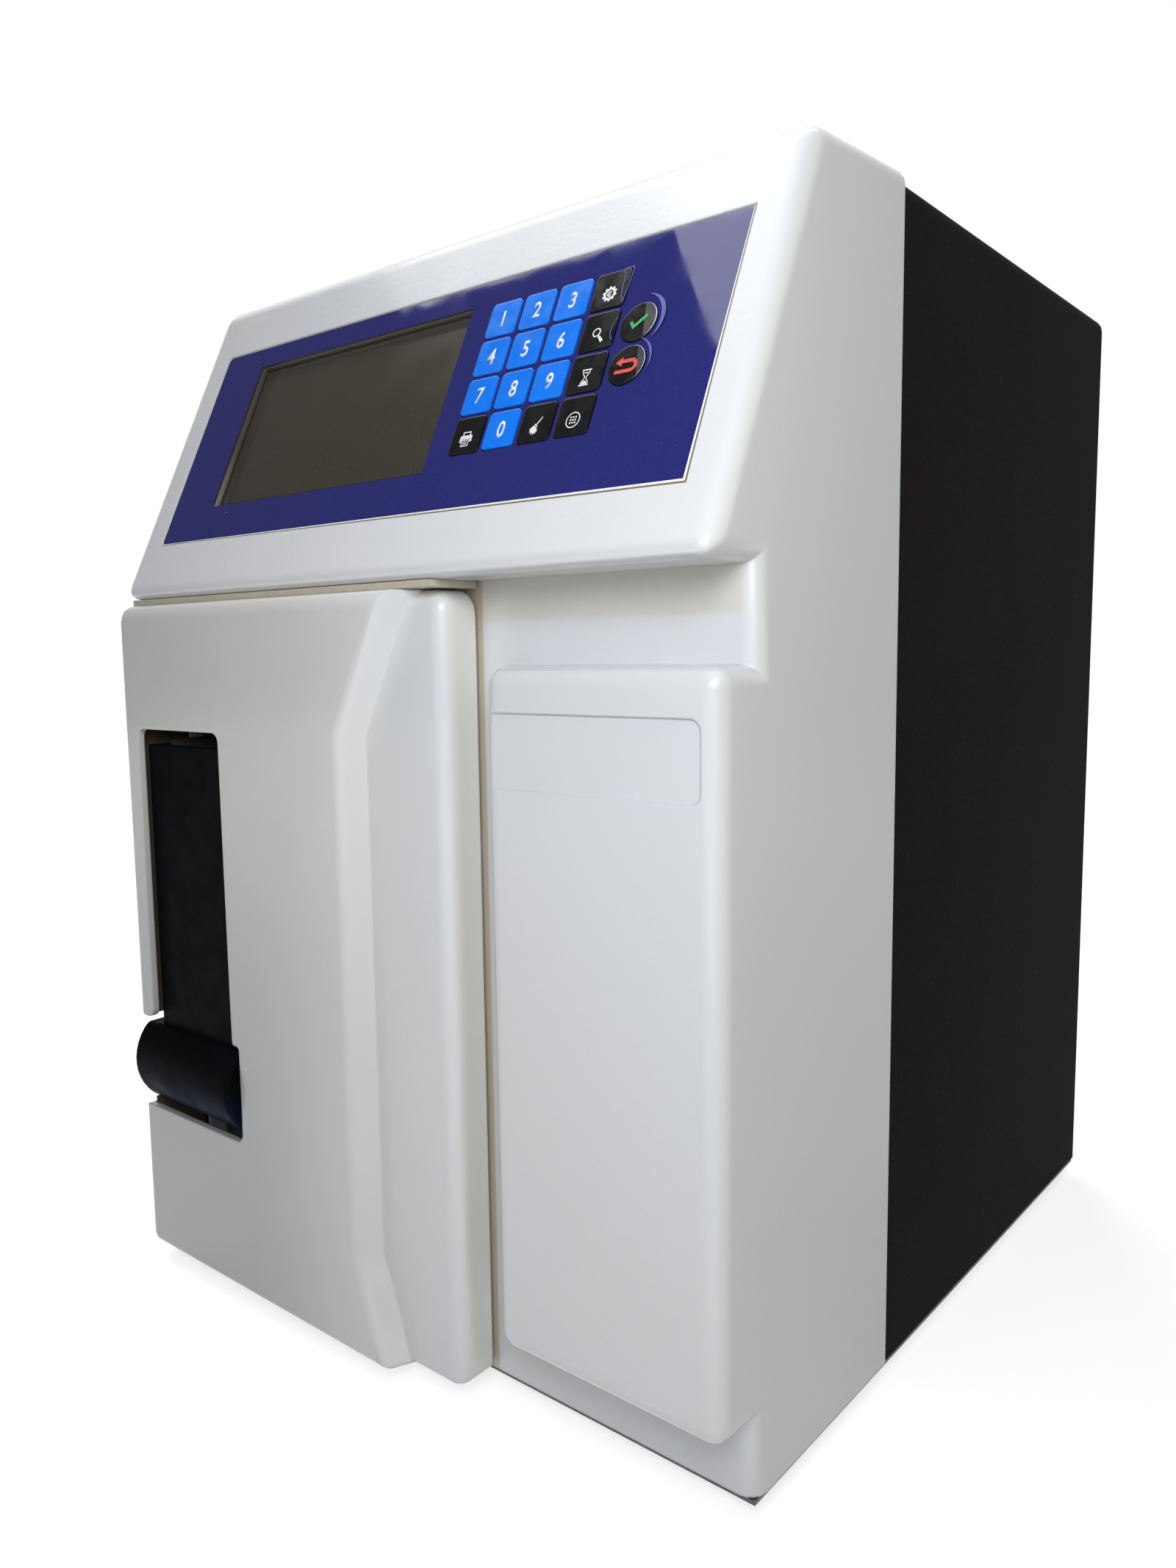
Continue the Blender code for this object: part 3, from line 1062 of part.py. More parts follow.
def build_electrics():
    """Main board, power supply, inlet, switch and serial port."""
    board = blocks("main_board", [(
        -BOARD_LEFT, BOARD_RIGHT, BOARD_FRONT, BOARD_BACK, BOARD_HEIGHT, BOARD_HEIGHT + BOARD_THICK)],
        body, material("main_board", BOARD_GREEN, 0.5))
    rails = [blocks("board_rail_left", [(
        -BOARD_LEFT + RAIL_INSET, -BOARD_LEFT + RAIL_INSET + RAIL_WIDTH, BOARD_FRONT, BOARD_BACK,
        0, BOARD_HEIGHT + BOARD_THICK / 2)], body)]
    rails.append(blocks("board_rail_right", [(
        BOARD_RIGHT - RAIL_INSET - RAIL_WIDTH, BOARD_RIGHT - RAIL_INSET, BOARD_FRONT, BOARD_BACK,
        0, BOARD_HEIGHT + BOARD_THICK / 2)], body))
    chips = []
    for number in range(CHIP_COUNT):
        middle = BOARD_FRONT + (BOARD_BACK - BOARD_FRONT) * (number + 1) / (CHIP_COUNT + 1)
        across = (BOARD_RIGHT - BOARD_LEFT) / 2
        chips.append((
            across - CHIP_SIZE / 2, across + CHIP_SIZE / 2, middle - CHIP_SIZE / 2, middle + CHIP_SIZE / 2,
            BOARD_HEIGHT + BOARD_THICK / 2, BOARD_HEIGHT + BOARD_THICK + CHIP_THICK))
    join(board, *rails, blocks("board_chips", chips, body))

    supply = blocks("power_supply", [(
        BOARD_RIGHT + SUPPLY_BOARD_GAP, HALF_WIDTH - SUPPLY_SIDE_GAP, SUPPLY_FRONT, SUPPLY_BACK,
        0, SUPPLY_HEIGHT)],
        body, material("power_supply", STEEL, 0.45, 0.9))
    soften(supply, SUPPLY_ROUND, 1)

    outer = BACK_FACE + GAP + FLANGE_THICK
    half = INLET_HALF_WIDTH
    inlet = blocks("power_inlet", [(
        INLET_X - half, INLET_X + half, outer - INLET_DEPTH, outer,
        INLET_HEIGHT - INLET_HALF_HEIGHT, INLET_HEIGHT + INLET_HALF_HEIGHT)],
        body, material("power_inlet", BLACK, 0.4))
    flange = blocks("inlet_flange", [(
        INLET_X - half - INLET_FLANGE, INLET_X + half + INLET_FLANGE, BACK_FACE + GAP, outer,
        INLET_HEIGHT - INLET_HALF_HEIGHT - INLET_FLANGE / 2,
        INLET_HEIGHT + INLET_HALF_HEIGHT + INLET_FLANGE / 2)], body)
    socket = blocks("inlet_socket", [(
        INLET_X - half + INLET_WALL, INLET_X + half - INLET_WALL, outer - INLET_SOCKET_DEPTH,
        outer + OVERRUN, INLET_HEIGHT - INLET_HALF_HEIGHT + INLET_WALL,
        INLET_HEIGHT + INLET_HALF_HEIGHT - INLET_WALL)], body)
    pins = []
    for across, up in ((-INLET_PIN_PITCH, -INLET_PIN_HEIGHT / 2), (0, INLET_EARTH_RISE),
                       (INLET_PIN_PITCH, -INLET_PIN_HEIGHT / 2)):
        pins.append((
            INLET_X + across - INLET_PIN_WIDTH / 2, INLET_X + across + INLET_PIN_WIDTH / 2,
            outer - INLET_SOCKET_DEPTH - INLET_WALL, outer - INLET_SOCKET_DEPTH + INLET_PIN_LENGTH,
            INLET_HEIGHT + up - INLET_PIN_HEIGHT / 2, INLET_HEIGHT + up + INLET_PIN_HEIGHT / 2))
    join(inlet, flange)
    cut(inlet, socket)
    join(inlet, blocks("inlet_pins", pins, body))

    switch_height = INLET_HEIGHT + SWITCH_RISE
    frame = blocks("switch_frame", [(
        INLET_X - SWITCH_HALF_WIDTH, INLET_X + SWITCH_HALF_WIDTH, outer - SWITCH_DEPTH, outer,
        switch_height - SWITCH_HALF_HEIGHT, switch_height + SWITCH_HALF_HEIGHT)],
        body, material("switch_frame", BLACK, 0.4))
    well_half = SWITCH_HALF_WIDTH - SWITCH_FRAME
    well_rise = SWITCH_HALF_HEIGHT - SWITCH_FRAME
    rocker_set = outer + ROCKER_PROUD - ROCKER_RADIUS
    well = blocks("switch_well", [(
        INLET_X - well_half, INLET_X + well_half, rocker_set - SWITCH_FRAME, outer + OVERRUN,
        switch_height - well_rise, switch_height + well_rise)], body)
    cut(frame, well)
    rocker_pivot = empty("rocker_axis", (INLET_X, rocker_set, switch_height), body,
                         (math.radians(-ROCKER_TILT), 0, 0))
    rim = well_rise - RUNNING_GAP
    face_angle = math.degrees(math.acos(rim / ROCKER_RADIUS)) if rim < ROCKER_RADIUS else 0
    rocker_side = arc((0, 0), rim, face_angle, 180 - face_angle, 4)
    rocker = [(up, set_back) for up, set_back in rocker_side]
    outline = [(set_back, up) for up, set_back in rocker] + [(-SWITCH_FRAME / 2, -rim / 2),
                                                            (-SWITCH_FRAME / 2, rim / 2)]
    outlines("power_switch", "X", [outline], (-well_half + RUNNING_GAP, well_half - RUNNING_GAP),
             rocker_pivot, material("power_switch", BLACK, 0.3), (0, 0, 0))

    port = blocks("serial_port", [(
        PORT_X - PORT_HALF_WIDTH - PORT_FLANGE, PORT_X + PORT_HALF_WIDTH + PORT_FLANGE,
        BACK_FACE + GAP, outer, INLET_HEIGHT - PORT_HALF_HEIGHT - PORT_FLANGE_RISE,
        INLET_HEIGHT + PORT_HALF_HEIGHT + PORT_FLANGE_RISE)],
        body, material("serial_port", STEEL, 0.35, 1.0))
    low = INLET_HEIGHT - PORT_HALF_HEIGHT
    high = INLET_HEIGHT + PORT_HALF_HEIGHT
    shell = rounded(
        [(PORT_X - PORT_HALF_WIDTH + PORT_DRAFT, low), (PORT_X + PORT_HALF_WIDTH - PORT_DRAFT, low),
         (PORT_X + PORT_HALF_WIDTH, high), (PORT_X - PORT_HALF_WIDTH, high)], PORT_DRAFT, 2)
    join(port, outlines(
        "port_shell", "Y", [shell], (BACK_FACE + FLANGE_THICK / 2, outer + PORT_PROUD), body))


def build_printer():
    """Paper tray under the top, its roll and its lid."""
    ceiling = REAR_TOP - REAR_WALL
    half = PRINTER_HALF_WIDTH
    rim_top = ceiling - GAP
    tray = blocks("printer_tray", [(
        -half - TRAY_RIM, half + TRAY_RIM, PRINTER_FRONT - TRAY_RIM, PRINTER_BACK + TRAY_RIM,
        rim_top - TRAY_DEPTH, rim_top)], body, material("printer_tray", BLACK, 0.5))
    inner_half = ROLL_LENGTH / 2 + RUNNING_GAP
    hollow = blocks("tray_hollow", [(
        -inner_half, inner_half, PRINTER_FRONT - TRAY_RIM + TRAY_WALL,
        PRINTER_BACK + TRAY_RIM - TRAY_WALL, rim_top - TRAY_DEPTH + TRAY_FLOOR, rim_top + OVERRUN)], body)
    cut(tray, hollow)

    roll_rise = rim_top - TRAY_DEPTH + TRAY_FLOOR + ROLL_RADIUS + TRAY_WALL
    bars("paper_roll", "X", [(0, (PRINTER_FRONT + PRINTER_BACK) / 2, roll_rise)],
         (-ROLL_LENGTH / 2, ROLL_LENGTH / 2), ROLL_RADIUS, body, material("paper_roll", PAPER, 0.8))

    axis = (0, PRINTER_BACK - RUNNING_GAP - LID_BARREL_RADIUS, ceiling + LID_BARREL_RADIUS)
    hinge = empty("lid_hinge", axis, body)
    barrel = arc((axis[1], axis[2]), LID_BARREL_RADIUS, 90, -90, ARC_STEPS // 2)
    side = barrel + [
        (PRINTER_FRONT + PAPER_SLOT, axis[2] - LID_BARREL_RADIUS),
        (PRINTER_FRONT + PAPER_SLOT, axis[2] + LID_BARREL_RADIUS)]
    lid = outlines("printer_lid", "X", [side], (-half + RUNNING_GAP, half - RUNNING_GAP), body,
                   material("printer_lid", BLACK, 0.45), axis)
    hang(lid, hinge)


build_fascia()
build_controls()
build_door()
build_sampler()
build_bay()
build_pump()
build_rear()
build_electrics()
build_printer()
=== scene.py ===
"""Looks, light and camera for the bench electrolyte analyzer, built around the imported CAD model."""

import math

import bmesh
import bpy
from mathutils import Matrix, Vector


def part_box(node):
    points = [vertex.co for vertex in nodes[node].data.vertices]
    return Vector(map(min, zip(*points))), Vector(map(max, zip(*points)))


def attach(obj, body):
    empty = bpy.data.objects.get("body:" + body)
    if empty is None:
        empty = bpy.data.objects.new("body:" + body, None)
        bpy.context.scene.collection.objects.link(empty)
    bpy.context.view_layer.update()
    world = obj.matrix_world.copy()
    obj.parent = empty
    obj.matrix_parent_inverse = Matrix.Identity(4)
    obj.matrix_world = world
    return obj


MM = 0.001
WELD_REACH = 0.002 * MM

# A distance beyond every edge of the part
FAR = 1.0

# Control face: across it, up its slope and out of it, and the place of its foot
LEAN = math.radians(24.5)
ACROSS = Vector((1, 0, 0))
FACE_UP = Vector((0, math.sin(LEAN), math.cos(LEAN)))
FACE_OUT = Vector((0, -math.cos(LEAN), math.sin(LEAN)))
BACK = Vector((0, 1, 0))
UPWARDS = Vector((0, 0, 1))

FACE_START = Vector((0, -0.1681, 0.297))
FACE_FOOT = FACE_START.dot(FACE_UP)
FACE_LEVEL = FACE_START.dot(FACE_OUT)

# Window over the display, across the control face, up it and down into it
WINDOW_LEFT = -105.7 * MM
WINDOW_RIGHT = 21.9 * MM
WINDOW_FOOT = FACE_FOOT + 40.8 * MM
WINDOW_TOP = FACE_FOOT + 107.7 * MM
WINDOW_DEPTH = 20 * MM
SCREEN_SHADOW_UP = (WINDOW_FOOT + 3.4 * MM, WINDOW_FOOT + 2.4 * MM)
SCREEN_SHADOW_ACROSS = (WINDOW_RIGHT - 0.5 * MM, WINDOW_RIGHT + 0.1 * MM)
SCREEN_UP = (255 * MM, 325 * MM)

# Where painted light changes the colour of the housing, the door and the lever: painted shade on the
# housing's sides, under the hood, in the gap by the door and over the door, and a painted bluish sheen under
# the lever's grip
HOUSING_SIDE_SHADE = (148 * MM, 151 * MM)
WALL_DEPTH = (-150 * MM, FAR, 6 * MM)
HOOD_SHADE_ACROSS = (41 * MM, 146 * MM)
HOOD_SHADE_UP = (283 * MM, 300 * MM)
GAP_SHADE_ACROSS = (33 * MM, 41 * MM)
GAP_SHADE_UP = (4 * MM, 298 * MM)
DOOR_SIDE_SHADE = 39.5 * MM
DOOR_FLAT_SHADE = (35 * MM, -45 * MM)
DOOR_LOW_SHADE = (250 * MM, 120 * MM)
DOOR_CORNER_SHADE_ACROSS = (-10 * MM, -75 * MM)
DOOR_CORNER_SHADE_UP = (260 * MM, 50 * MM)
LEVER_SHEEN_LOW = (97 * MM, 80 * MM)

# Finish of the surfaces
COAT_ROUGHNESS = 0.06
ROUNDING_SAMPLES = 6
SPECK_CORE = 0.4
GLOSS_LOW, GLOSS_HIGH = 0.85, 1.2
PRINT_SHADE = 0.88
CRISP_ANGLE = math.radians(35)

# Camera, fitted to the photograph
CAMERA_PLACE = (0.32578, -0.43113, 0.27172)
CAMERA_YAW = 0.68945
CAMERA_PITCH = 0.11231
CAMERA_ROLL = 0.012744
CAMERA_LENS = 26.59
CAMERA_SENSOR = 36
CAMERA_NEAR = 10 * MM

# Lamps: name, place, aim, width, height, watts, colour
LAMPS = (
    ("ceiling", (-0.105, -0.05, 1.6), (-0.105, -0.049, 0), 1.21, 1.4, 9.2, (1.0, 1.0, 1.0)),
    ("near_right", (0.40, -0.55, 0.45), (0.05, -0.15, 0.25), 0.3, 0.3, 1.32, (0.97, 0.99, 1.0)),
    ("near_top", (0.30, -0.45, 0.45), (0.05, -0.15, 0.30), 0.2, 0.2, 0.68, (0.97, 0.99, 1.0)),
    ("top_left", (-0.40, -0.10, 1.1), (-0.05, -0.15, 0.35), 0.5, 0.5, 1.7, (1.0, 1.0, 1.0)),
    ("low_front", (0.35, -0.75, 0.05), (0.0, -0.10, 0.25), 0.5, 0.2, 0.24, (1.0, 0.98, 0.95)),
    ("behind", (-1.1, 1.5, 0.9), (0, 0.05, 0.2), 1.0, 0.8, 16.0, (1.0, 1.0, 1.0)),
)
UNMIRRORED_LAMPS = ("behind",)
ROOM_LIGHT = 0.07
ROOM_COLOUR = (0.97, 0.985, 1.0, 1)
ROOM_FRONT = 0.12
ROOM_TURN = (-0.15, 0.3)
FLOOR_HALF = 4.0
FLOOR_FADE = (0.3, 1.6)
FLOOR_LIFT = 0.72
FLOOR_GREY = 0.6

# Prints on the keys, and the lifts of the painted sheen and highlights on their film
DIGIT_HEIGHT = 6.2 * MM
DIGIT_SLIM = 0.82
DIGIT_BOLD = 0.017
PRINT_THICK = 0.06 * MM
PRINT_LIFT = 0.035 * MM
SHEEN_LIFT = 0.02 * MM
GLINT_LIFT = 0.06 * MM
MITRE_LEAST = 0.35

# Lines along the overlay's edge in millimetres: name, look, inner and outer distance from the edge
# The outer, olive line is a painted shadow along the overlay's edge
EDGE_LINES = (("pale_edge_line", "white", 0.05, 0.85), ("edge_shadow_line", "olive", 0.85, 1.5))
EDGE_THIN_SHARE = 0.35
EDGE_LIFT = 0.2 * MM

# Strips round the door that stand for the shade in its gaps, in millimetres
STRIP_ROUND = 0.15
LINER_LEFT, LINER_THICK = -148.45, 0.8
LINER_FRONT, LINER_BACK = -166.2, -143.0
LINER_FOOT, LINER_TOP = 20.0, 279.0
GRIP_BACK, GRIP_FOOT, GRIP_TOP = -150.9, 75.1, 113.5
BARREL_BACK, BARREL_UP, BARREL_CLEAR_UP = -144.4, (213.5, 235.0), (212.0, 236.4)
SIDE_STRIP_LEFT, SIDE_STRIP_RIGHT = -150.9, -149.8
SIDE_STRIP_FRONT, SIDE_STRIP_BACK_RIGHT, SIDE_STRIP_BACK_LEFT = -143.3, -139.4, -138.0
SIDE_STRIP_FOOT, SIDE_STRIP_HEIGHT = 22.0, 262.0
TOP_LEFT, TOP_RIGHT = -149.3, 39.0
TOP_FRONT, TOP_BACK = -163.6, -142.2
HINGE_RIGHT, HINGE_FRONT = -142.5, -153.5
TOP_FOOT, TOP_THICK = 294.45, 2.5

# Back panel's screws in millimetres; the head and the disc under its cross: rise, thickness, rounding
SCREW_RADIUS = 3.3
SCREW_ROUND = 0.35
SCREW_SET = 10.0
SCREW_HEAD = (0.95, 0.7, SCREW_ROUND)
SCREW_DISC = (0.25, 0.5, 0.0)
CROSS_REACH = 1.7
CROSS_HALF = 0.425

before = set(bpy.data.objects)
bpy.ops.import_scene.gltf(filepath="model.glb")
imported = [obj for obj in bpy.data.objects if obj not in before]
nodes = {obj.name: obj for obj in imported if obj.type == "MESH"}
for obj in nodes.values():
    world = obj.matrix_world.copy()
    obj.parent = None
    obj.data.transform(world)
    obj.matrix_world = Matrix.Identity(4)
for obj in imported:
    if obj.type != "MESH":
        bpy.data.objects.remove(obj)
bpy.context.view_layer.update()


# Node helpers for procedural materials

def plain(name, colour, roughness, metallic=0.0, coat=0.0, specular=0.5, rounding=0.0):
    """Principled material of one colour; a rounding softens the look of sharp edges."""
    made = bpy.data.materials.new(name)
    made.use_nodes = True
    tree = made.node_tree
    shader = tree.nodes["Principled BSDF"]
    shader.inputs["Base Color"].default_value = (*colour, 1.0)
    shader.inputs["Roughness"].default_value = roughness
    shader.inputs["Metallic"].default_value = metallic
    shader.inputs["Coat Weight"].default_value = coat
    shader.inputs["Coat Roughness"].default_value = COAT_ROUGHNESS
    shader.inputs["Specular IOR Level"].default_value = specular
    if rounding:
        edge = tree.nodes.new("ShaderNodeBevel")
        edge.samples = ROUNDING_SAMPLES
        edge.inputs["Radius"].default_value = rounding
        tree.links.new(edge.outputs["Normal"], shader.inputs["Normal"])
        tree.links.new(edge.outputs["Normal"], shader.inputs["Coat Normal"])
    return made


def feed(made, node, socket, source):
    """Link a value, or set it when it's a number."""
    if isinstance(source, (int, float)):
        node.inputs[socket].default_value = source
    else:
        made.node_tree.links.new(source, node.inputs[socket])


def combine(made, operation, first, second):
    """One arithmetic node."""
    node = made.node_tree.nodes.new("ShaderNodeMath")
    node.operation = operation
    feed(made, node, 0, first)
    feed(made, node, 1, second)
    return node.outputs[0]


def spread(made, value, start, end, low=0.0, high=1.0, course="SMOOTHSTEP"):
    """Value mapped from one range to another, smoothly unless told otherwise, and held there beyond it."""
    node = made.node_tree.nodes.new("ShaderNodeMapRange")
    node.interpolation_type = course
    feed(made, node, "Value", value)
    for socket, number in (("From Min", start), ("From Max", end), ("To Min", low), ("To Max", high)):
        node.inputs[socket].default_value = number
    return node.outputs[0]


def position(made, stretch=(1, 1, 1)):
    """Place on the object at rest, stretched along its axes."""
    tree = made.node_tree
    place = tree.nodes.new("ShaderNodeTexCoord")
    turned = tree.nodes.new("ShaderNodeMapping")
    turned.inputs["Scale"].default_value = stretch
    tree.links.new(place.outputs["Object"], turned.inputs["Vector"])
    return turned.outputs[0]


def along(made, direction):
    """Distance along a direction."""
    node = made.node_tree.nodes.new("ShaderNodeVectorMath")
    node.operation = "DOT_PRODUCT"
    made.node_tree.links.new(position(made), node.inputs[0])
    node.inputs[1].default_value = direction
    return node.outputs["Value"]


def clouds(made, scale, start=0.35, end=0.65, stretch=(1, 1, 1), detail=3.0):
    """Soft noise between black and white."""
    node = made.node_tree.nodes.new("ShaderNodeTexNoise")
    node.inputs["Scale"].default_value = scale
    node.inputs["Detail"].default_value = detail
    made.node_tree.links.new(position(made, stretch), node.inputs["Vector"])
    return spread(made, node.outputs["Fac"], start, end)


def specks(made, scale, size, share):
    """Small round spots in a share of the cells of an even scatter."""
    node = made.node_tree.nodes.new("ShaderNodeTexVoronoi")
    node.inputs["Scale"].default_value = scale
    made.node_tree.links.new(position(made), node.inputs["Vector"])
    near = spread(made, node.outputs["Distance"], size, size * SPECK_CORE)
    split = made.node_tree.nodes.new("ShaderNodeSeparateColor")
    made.node_tree.links.new(node.outputs["Color"], split.inputs[0])
    return combine(made, "MULTIPLY", near, combine(made, "GREATER_THAN", split.outputs[0], 1 - share))


def tint(made, mask, colour, amount=1.0):
    """Another colour where the mask is white."""
    tree = made.node_tree
    base = tree.nodes["Principled BSDF"].inputs["Base Color"]
    mix = tree.nodes.new("ShaderNodeMix")
    mix.data_type = "RGBA"
    tree.links.new(combine(made, "MULTIPLY", mask, amount), mix.inputs["Factor"])
    under, over = [socket for socket in mix.inputs if socket.type == "RGBA"]
    if base.is_linked:
        tree.links.new(base.links[0].from_socket, under)
    else:
        under.default_value = base.default_value
    over.default_value = (*colour, 1.0)
    tree.links.new([socket for socket in mix.outputs if socket.type == "RGBA"][0], base)
    return made


def rough(made, mask, start, end):
    """Roughness that runs between two values with a mask."""
    tree = made.node_tree
    tree.links.new(spread(made, mask, 0, 1, start, end), tree.nodes["Principled BSDF"].inputs["Roughness"])
    return made


def relief(made, mask, depth, strength=1.0):
    """Bumps from a mask, on top of what the normal already has."""
    tree = made.node_tree
    normal = tree.nodes["Principled BSDF"].inputs["Normal"]
    bump = tree.nodes.new("ShaderNodeBump")
    bump.inputs["Strength"].default_value = strength
    bump.inputs["Distance"].default_value = depth
    tree.links.new(mask, bump.inputs["Height"])
    if normal.is_linked:
        tree.links.new(normal.links[0].from_socket, bump.inputs["Normal"])
    tree.links.new(bump.outputs["Normal"], normal)
    return made


# Materials

def ivory(name):
    """Gloss ivory moulding with a faint orange peel and slight ageing."""
    made = plain(name, (0.775, 0.79, 0.83), 0.22, coat=0.25, rounding=0.0012)
    tint(made, clouds(made, 7), (0.785, 0.785, 0.79), 0.6)
    rough(made, clouds(made, 45), 0.19, 0.27)
    return relief(made, clouds(made, 420, 0.2, 0.8, detail=1.0), 0.00003)


def within(made, *limits):
    """Mask that is white between two soft limits along each direction given."""
    mask = None
    for way, start, end, soft in limits:
        place = along(made, way)
        inside = combine(made, "MULTIPLY", spread(made, place, start - soft, start + soft),
                         spread(made, place, end + soft, end - soft))
        mask = inside if mask is None else combine(made, "MULTIPLY", mask, inside)
    return mask


def in_window(made, margin, soft, drop, drop_soft):
    """Mask of what lies in the display's window, from a drop below the control face."""
    return within(
        made, (ACROSS, WINDOW_LEFT - margin, WINDOW_RIGHT + margin, soft),
        (FACE_UP, WINDOW_FOOT - margin, WINDOW_TOP + margin, soft),
        (FACE_OUT, FACE_LEVEL - WINDOW_DEPTH, FACE_LEVEL - drop, drop_soft))


def fascia_look():
    """Ivory with painted shade: greyer and less blue on its sides, warm under the hood, brown in the gap by
    the door and in the window's reveal.
    """
    made = ivory("ivory_housing")
    # Painted shade: the sides, away from the bluish front light, are tinted greyer and less blue
    outward = combine(made, "ABSOLUTE", along(made, ACROSS), 0)
    tint(made, spread(made, outward, *HOUSING_SIDE_SHADE), (0.775, 0.78, 0.765))
    deep = (BACK, *WALL_DEPTH)
    # Painted shade: the recessed wall just under the hood is tinted warm and darker, where the hood shades it
    tint(made, within(made, (ACROSS, *HOOD_SHADE_ACROSS, 0.001), deep, (UPWARDS, *HOOD_SHADE_UP, 0.001)),
         (0.76, 0.745, 0.70))
    # Painted shade: brown deep in the gap beside the door, where little light reaches
    tint(made, within(made, (ACROSS, *GAP_SHADE_ACROSS, 0.0006), deep, (UPWARDS, *GAP_SHADE_UP, 0.002)),
         (0.62, 0.54, 0.39), 0.9)
    # Painted shade: the window's reveal is tinted dark brown, a little less towards the window's foot
    reveal = in_window(made, margin=0.003, soft=0.001, drop=0.0008, drop_soft=0.0002)
    shade = spread(made, along(made, FACE_UP), WINDOW_FOOT, (WINDOW_FOOT + WINDOW_TOP) / 2, 0.80, 1.0)
    return tint(made, combine(made, "MULTIPLY", reveal, shade), (0.085, 0.068, 0.055), 0.97)


def door_look():
    """Ivory with painted shade: warmer on the right side face, greyer on the flat part, more towards its foot
    and most at its low left corner.
    """
    made = ivory("ivory_door")
    # Painted shade: the right side face, in the gap by the panel, is tinted warm and darker
    tint(made, within(made, (ACROSS, DOOR_SIDE_SHADE, FAR, 0.001)), (0.755, 0.75, 0.70))
    # Painted shade: the flat part is greyer, and more so towards its foot
    flat = spread(made, along(made, ACROSS), *DOOR_FLAT_SHADE)
    tint(made, flat, (0.74, 0.735, 0.71))
    tint(made, combine(made, "MULTIPLY", flat, spread(made, along(made, UPWARDS), *DOOR_LOW_SHADE)),
         (0.655, 0.655, 0.65))
    # Painted shade: darkest at the low left corner, where the least light falls
    corner = combine(made, "MULTIPLY", spread(made, along(made, ACROSS), *DOOR_CORNER_SHADE_ACROSS),
                     spread(made, along(made, UPWARDS), *DOOR_CORNER_SHADE_UP))
    return tint(made, corner, (0.50, 0.515, 0.525))


def enclosure_look():
    """Matt black powder coat with fine grain."""
    made = plain("black_enclosure", (0.0075, 0.0062, 0.0058), 0.62, specular=0.015)
    tint(made, clouds(made, 9), (0.0110, 0.0090, 0.0085), 0.8)
    tint(made, clouds(made, 1500, 0.58, 0.75, detail=1.0), (0.030, 0.027, 0.026), 0.6)
    return relief(made, clouds(made, 1300, 0.2, 0.8, detail=2.0), 0.0002, 0.5)


def overlay_look():
    """Printed blue film under a mirror-smooth coat, with a few bright specks, and painted shade on its cut
    edge in the window.
    """
    made = plain("overlay_blue", (0.016, 0.019, 0.170), 0.04, specular=0.95)
    tint(made, clouds(made, 900, 0.45, 0.7, detail=1.0), (0.024, 0.027, 0.20), 0.5)
    tint(made, specks(made, 140, 0.06, 0.05), (0.35, 0.37, 0.60))
    # Painted shade: the film's cut edge in the window is tinted dark like the window's reveal
    cut = in_window(made, margin=0.0002, soft=0.00005, drop=0.0003, drop_soft=0.00005)
    tint(made, cut, (0.05, 0.042, 0.045))
    rough(made, clouds(made, 60), 0.03, 0.055)
    return relief(made, clouds(made, 35, 0.2, 0.8, detail=1.0), 0.00004)


def screen_look():
    """Unlit display: olive grey glass with a painted shadow as a dark rim at its foot and right side, and
    dust.
    """
    made = plain("screen_grey", (0.055, 0.048, 0.035), 0.16, specular=0.4)
    tint(made, spread(made, along(made, FACE_UP), *SCREEN_UP), (0.075, 0.067, 0.050))
    tint(made, clouds(made, 700, 0.4, 0.7, detail=1.0), (0.066, 0.060, 0.048), 0.4)
    tint(made, specks(made, 170, 0.05, 0.06), (0.30, 0.29, 0.24))
    # Painted shadow: a dark rim along the screen's foot and right side, under the edge of the film
    rim = combine(made, "MAXIMUM", spread(made, along(made, FACE_UP), *SCREEN_SHADOW_UP),
                  spread(made, along(made, ACROSS), *SCREEN_SHADOW_ACROSS))
    tint(made, rim, (0.012, 0.011, 0.012))
    return rough(made, clouds(made, 30), 0.12, 0.22)


def key_look(name, colour, edge_colour):
    """Film key with a slightly uneven print."""
    made = plain(name, colour, 0.16, specular=0.45, rounding=0.0004)
    tint(made, clouds(made, 240), edge_colour, 0.25)
    return rough(made, clouds(made, 150), 0.12, 0.20)


def lever_look():
    """Satin black moulding with a painted bluish sheen under the grip, and hairline rubbing."""
    made = plain("lever_black", (0.0036, 0.0044, 0.0056), 0.42, specular=0.012, rounding=0.0008)
    tint(made, clouds(made, 60, 0.5, 0.75), (0.005, 0.0065, 0.009), 0.6)
    # Painted reflection: a bluish sheen on the low part of the grip
    tint(made, spread(made, along(made, UPWARDS), *LEVER_SHEEN_LOW), (0.007, 0.011, 0.030))
    tint(made, clouds(made, 30, 0.68, 0.74, (1, 1, 40)), (0.02, 0.024, 0.03), 0.25)
    return rough(made, clouds(made, 90), 0.36, 0.50)


def grainy(name, colour, other, scale, roughness, depth, stretch=(1, 1, 1), metallic=0.0, specular=0.5,
           coat=0.0, rounding=0.0004):
    """Material of two close colours in a grain, with matching bumps and gloss."""
    made = plain(name, colour, roughness, metallic, coat, specular, rounding)
    mask = clouds(made, scale, 0.3, 0.7, stretch)
    tint(made, mask, other)
    rough(made, clouds(made, scale / 3, 0.3, 0.7, stretch), roughness * GLOSS_LOW,
          min(1.0, roughness * GLOSS_HIGH))
    return relief(made, mask, depth)


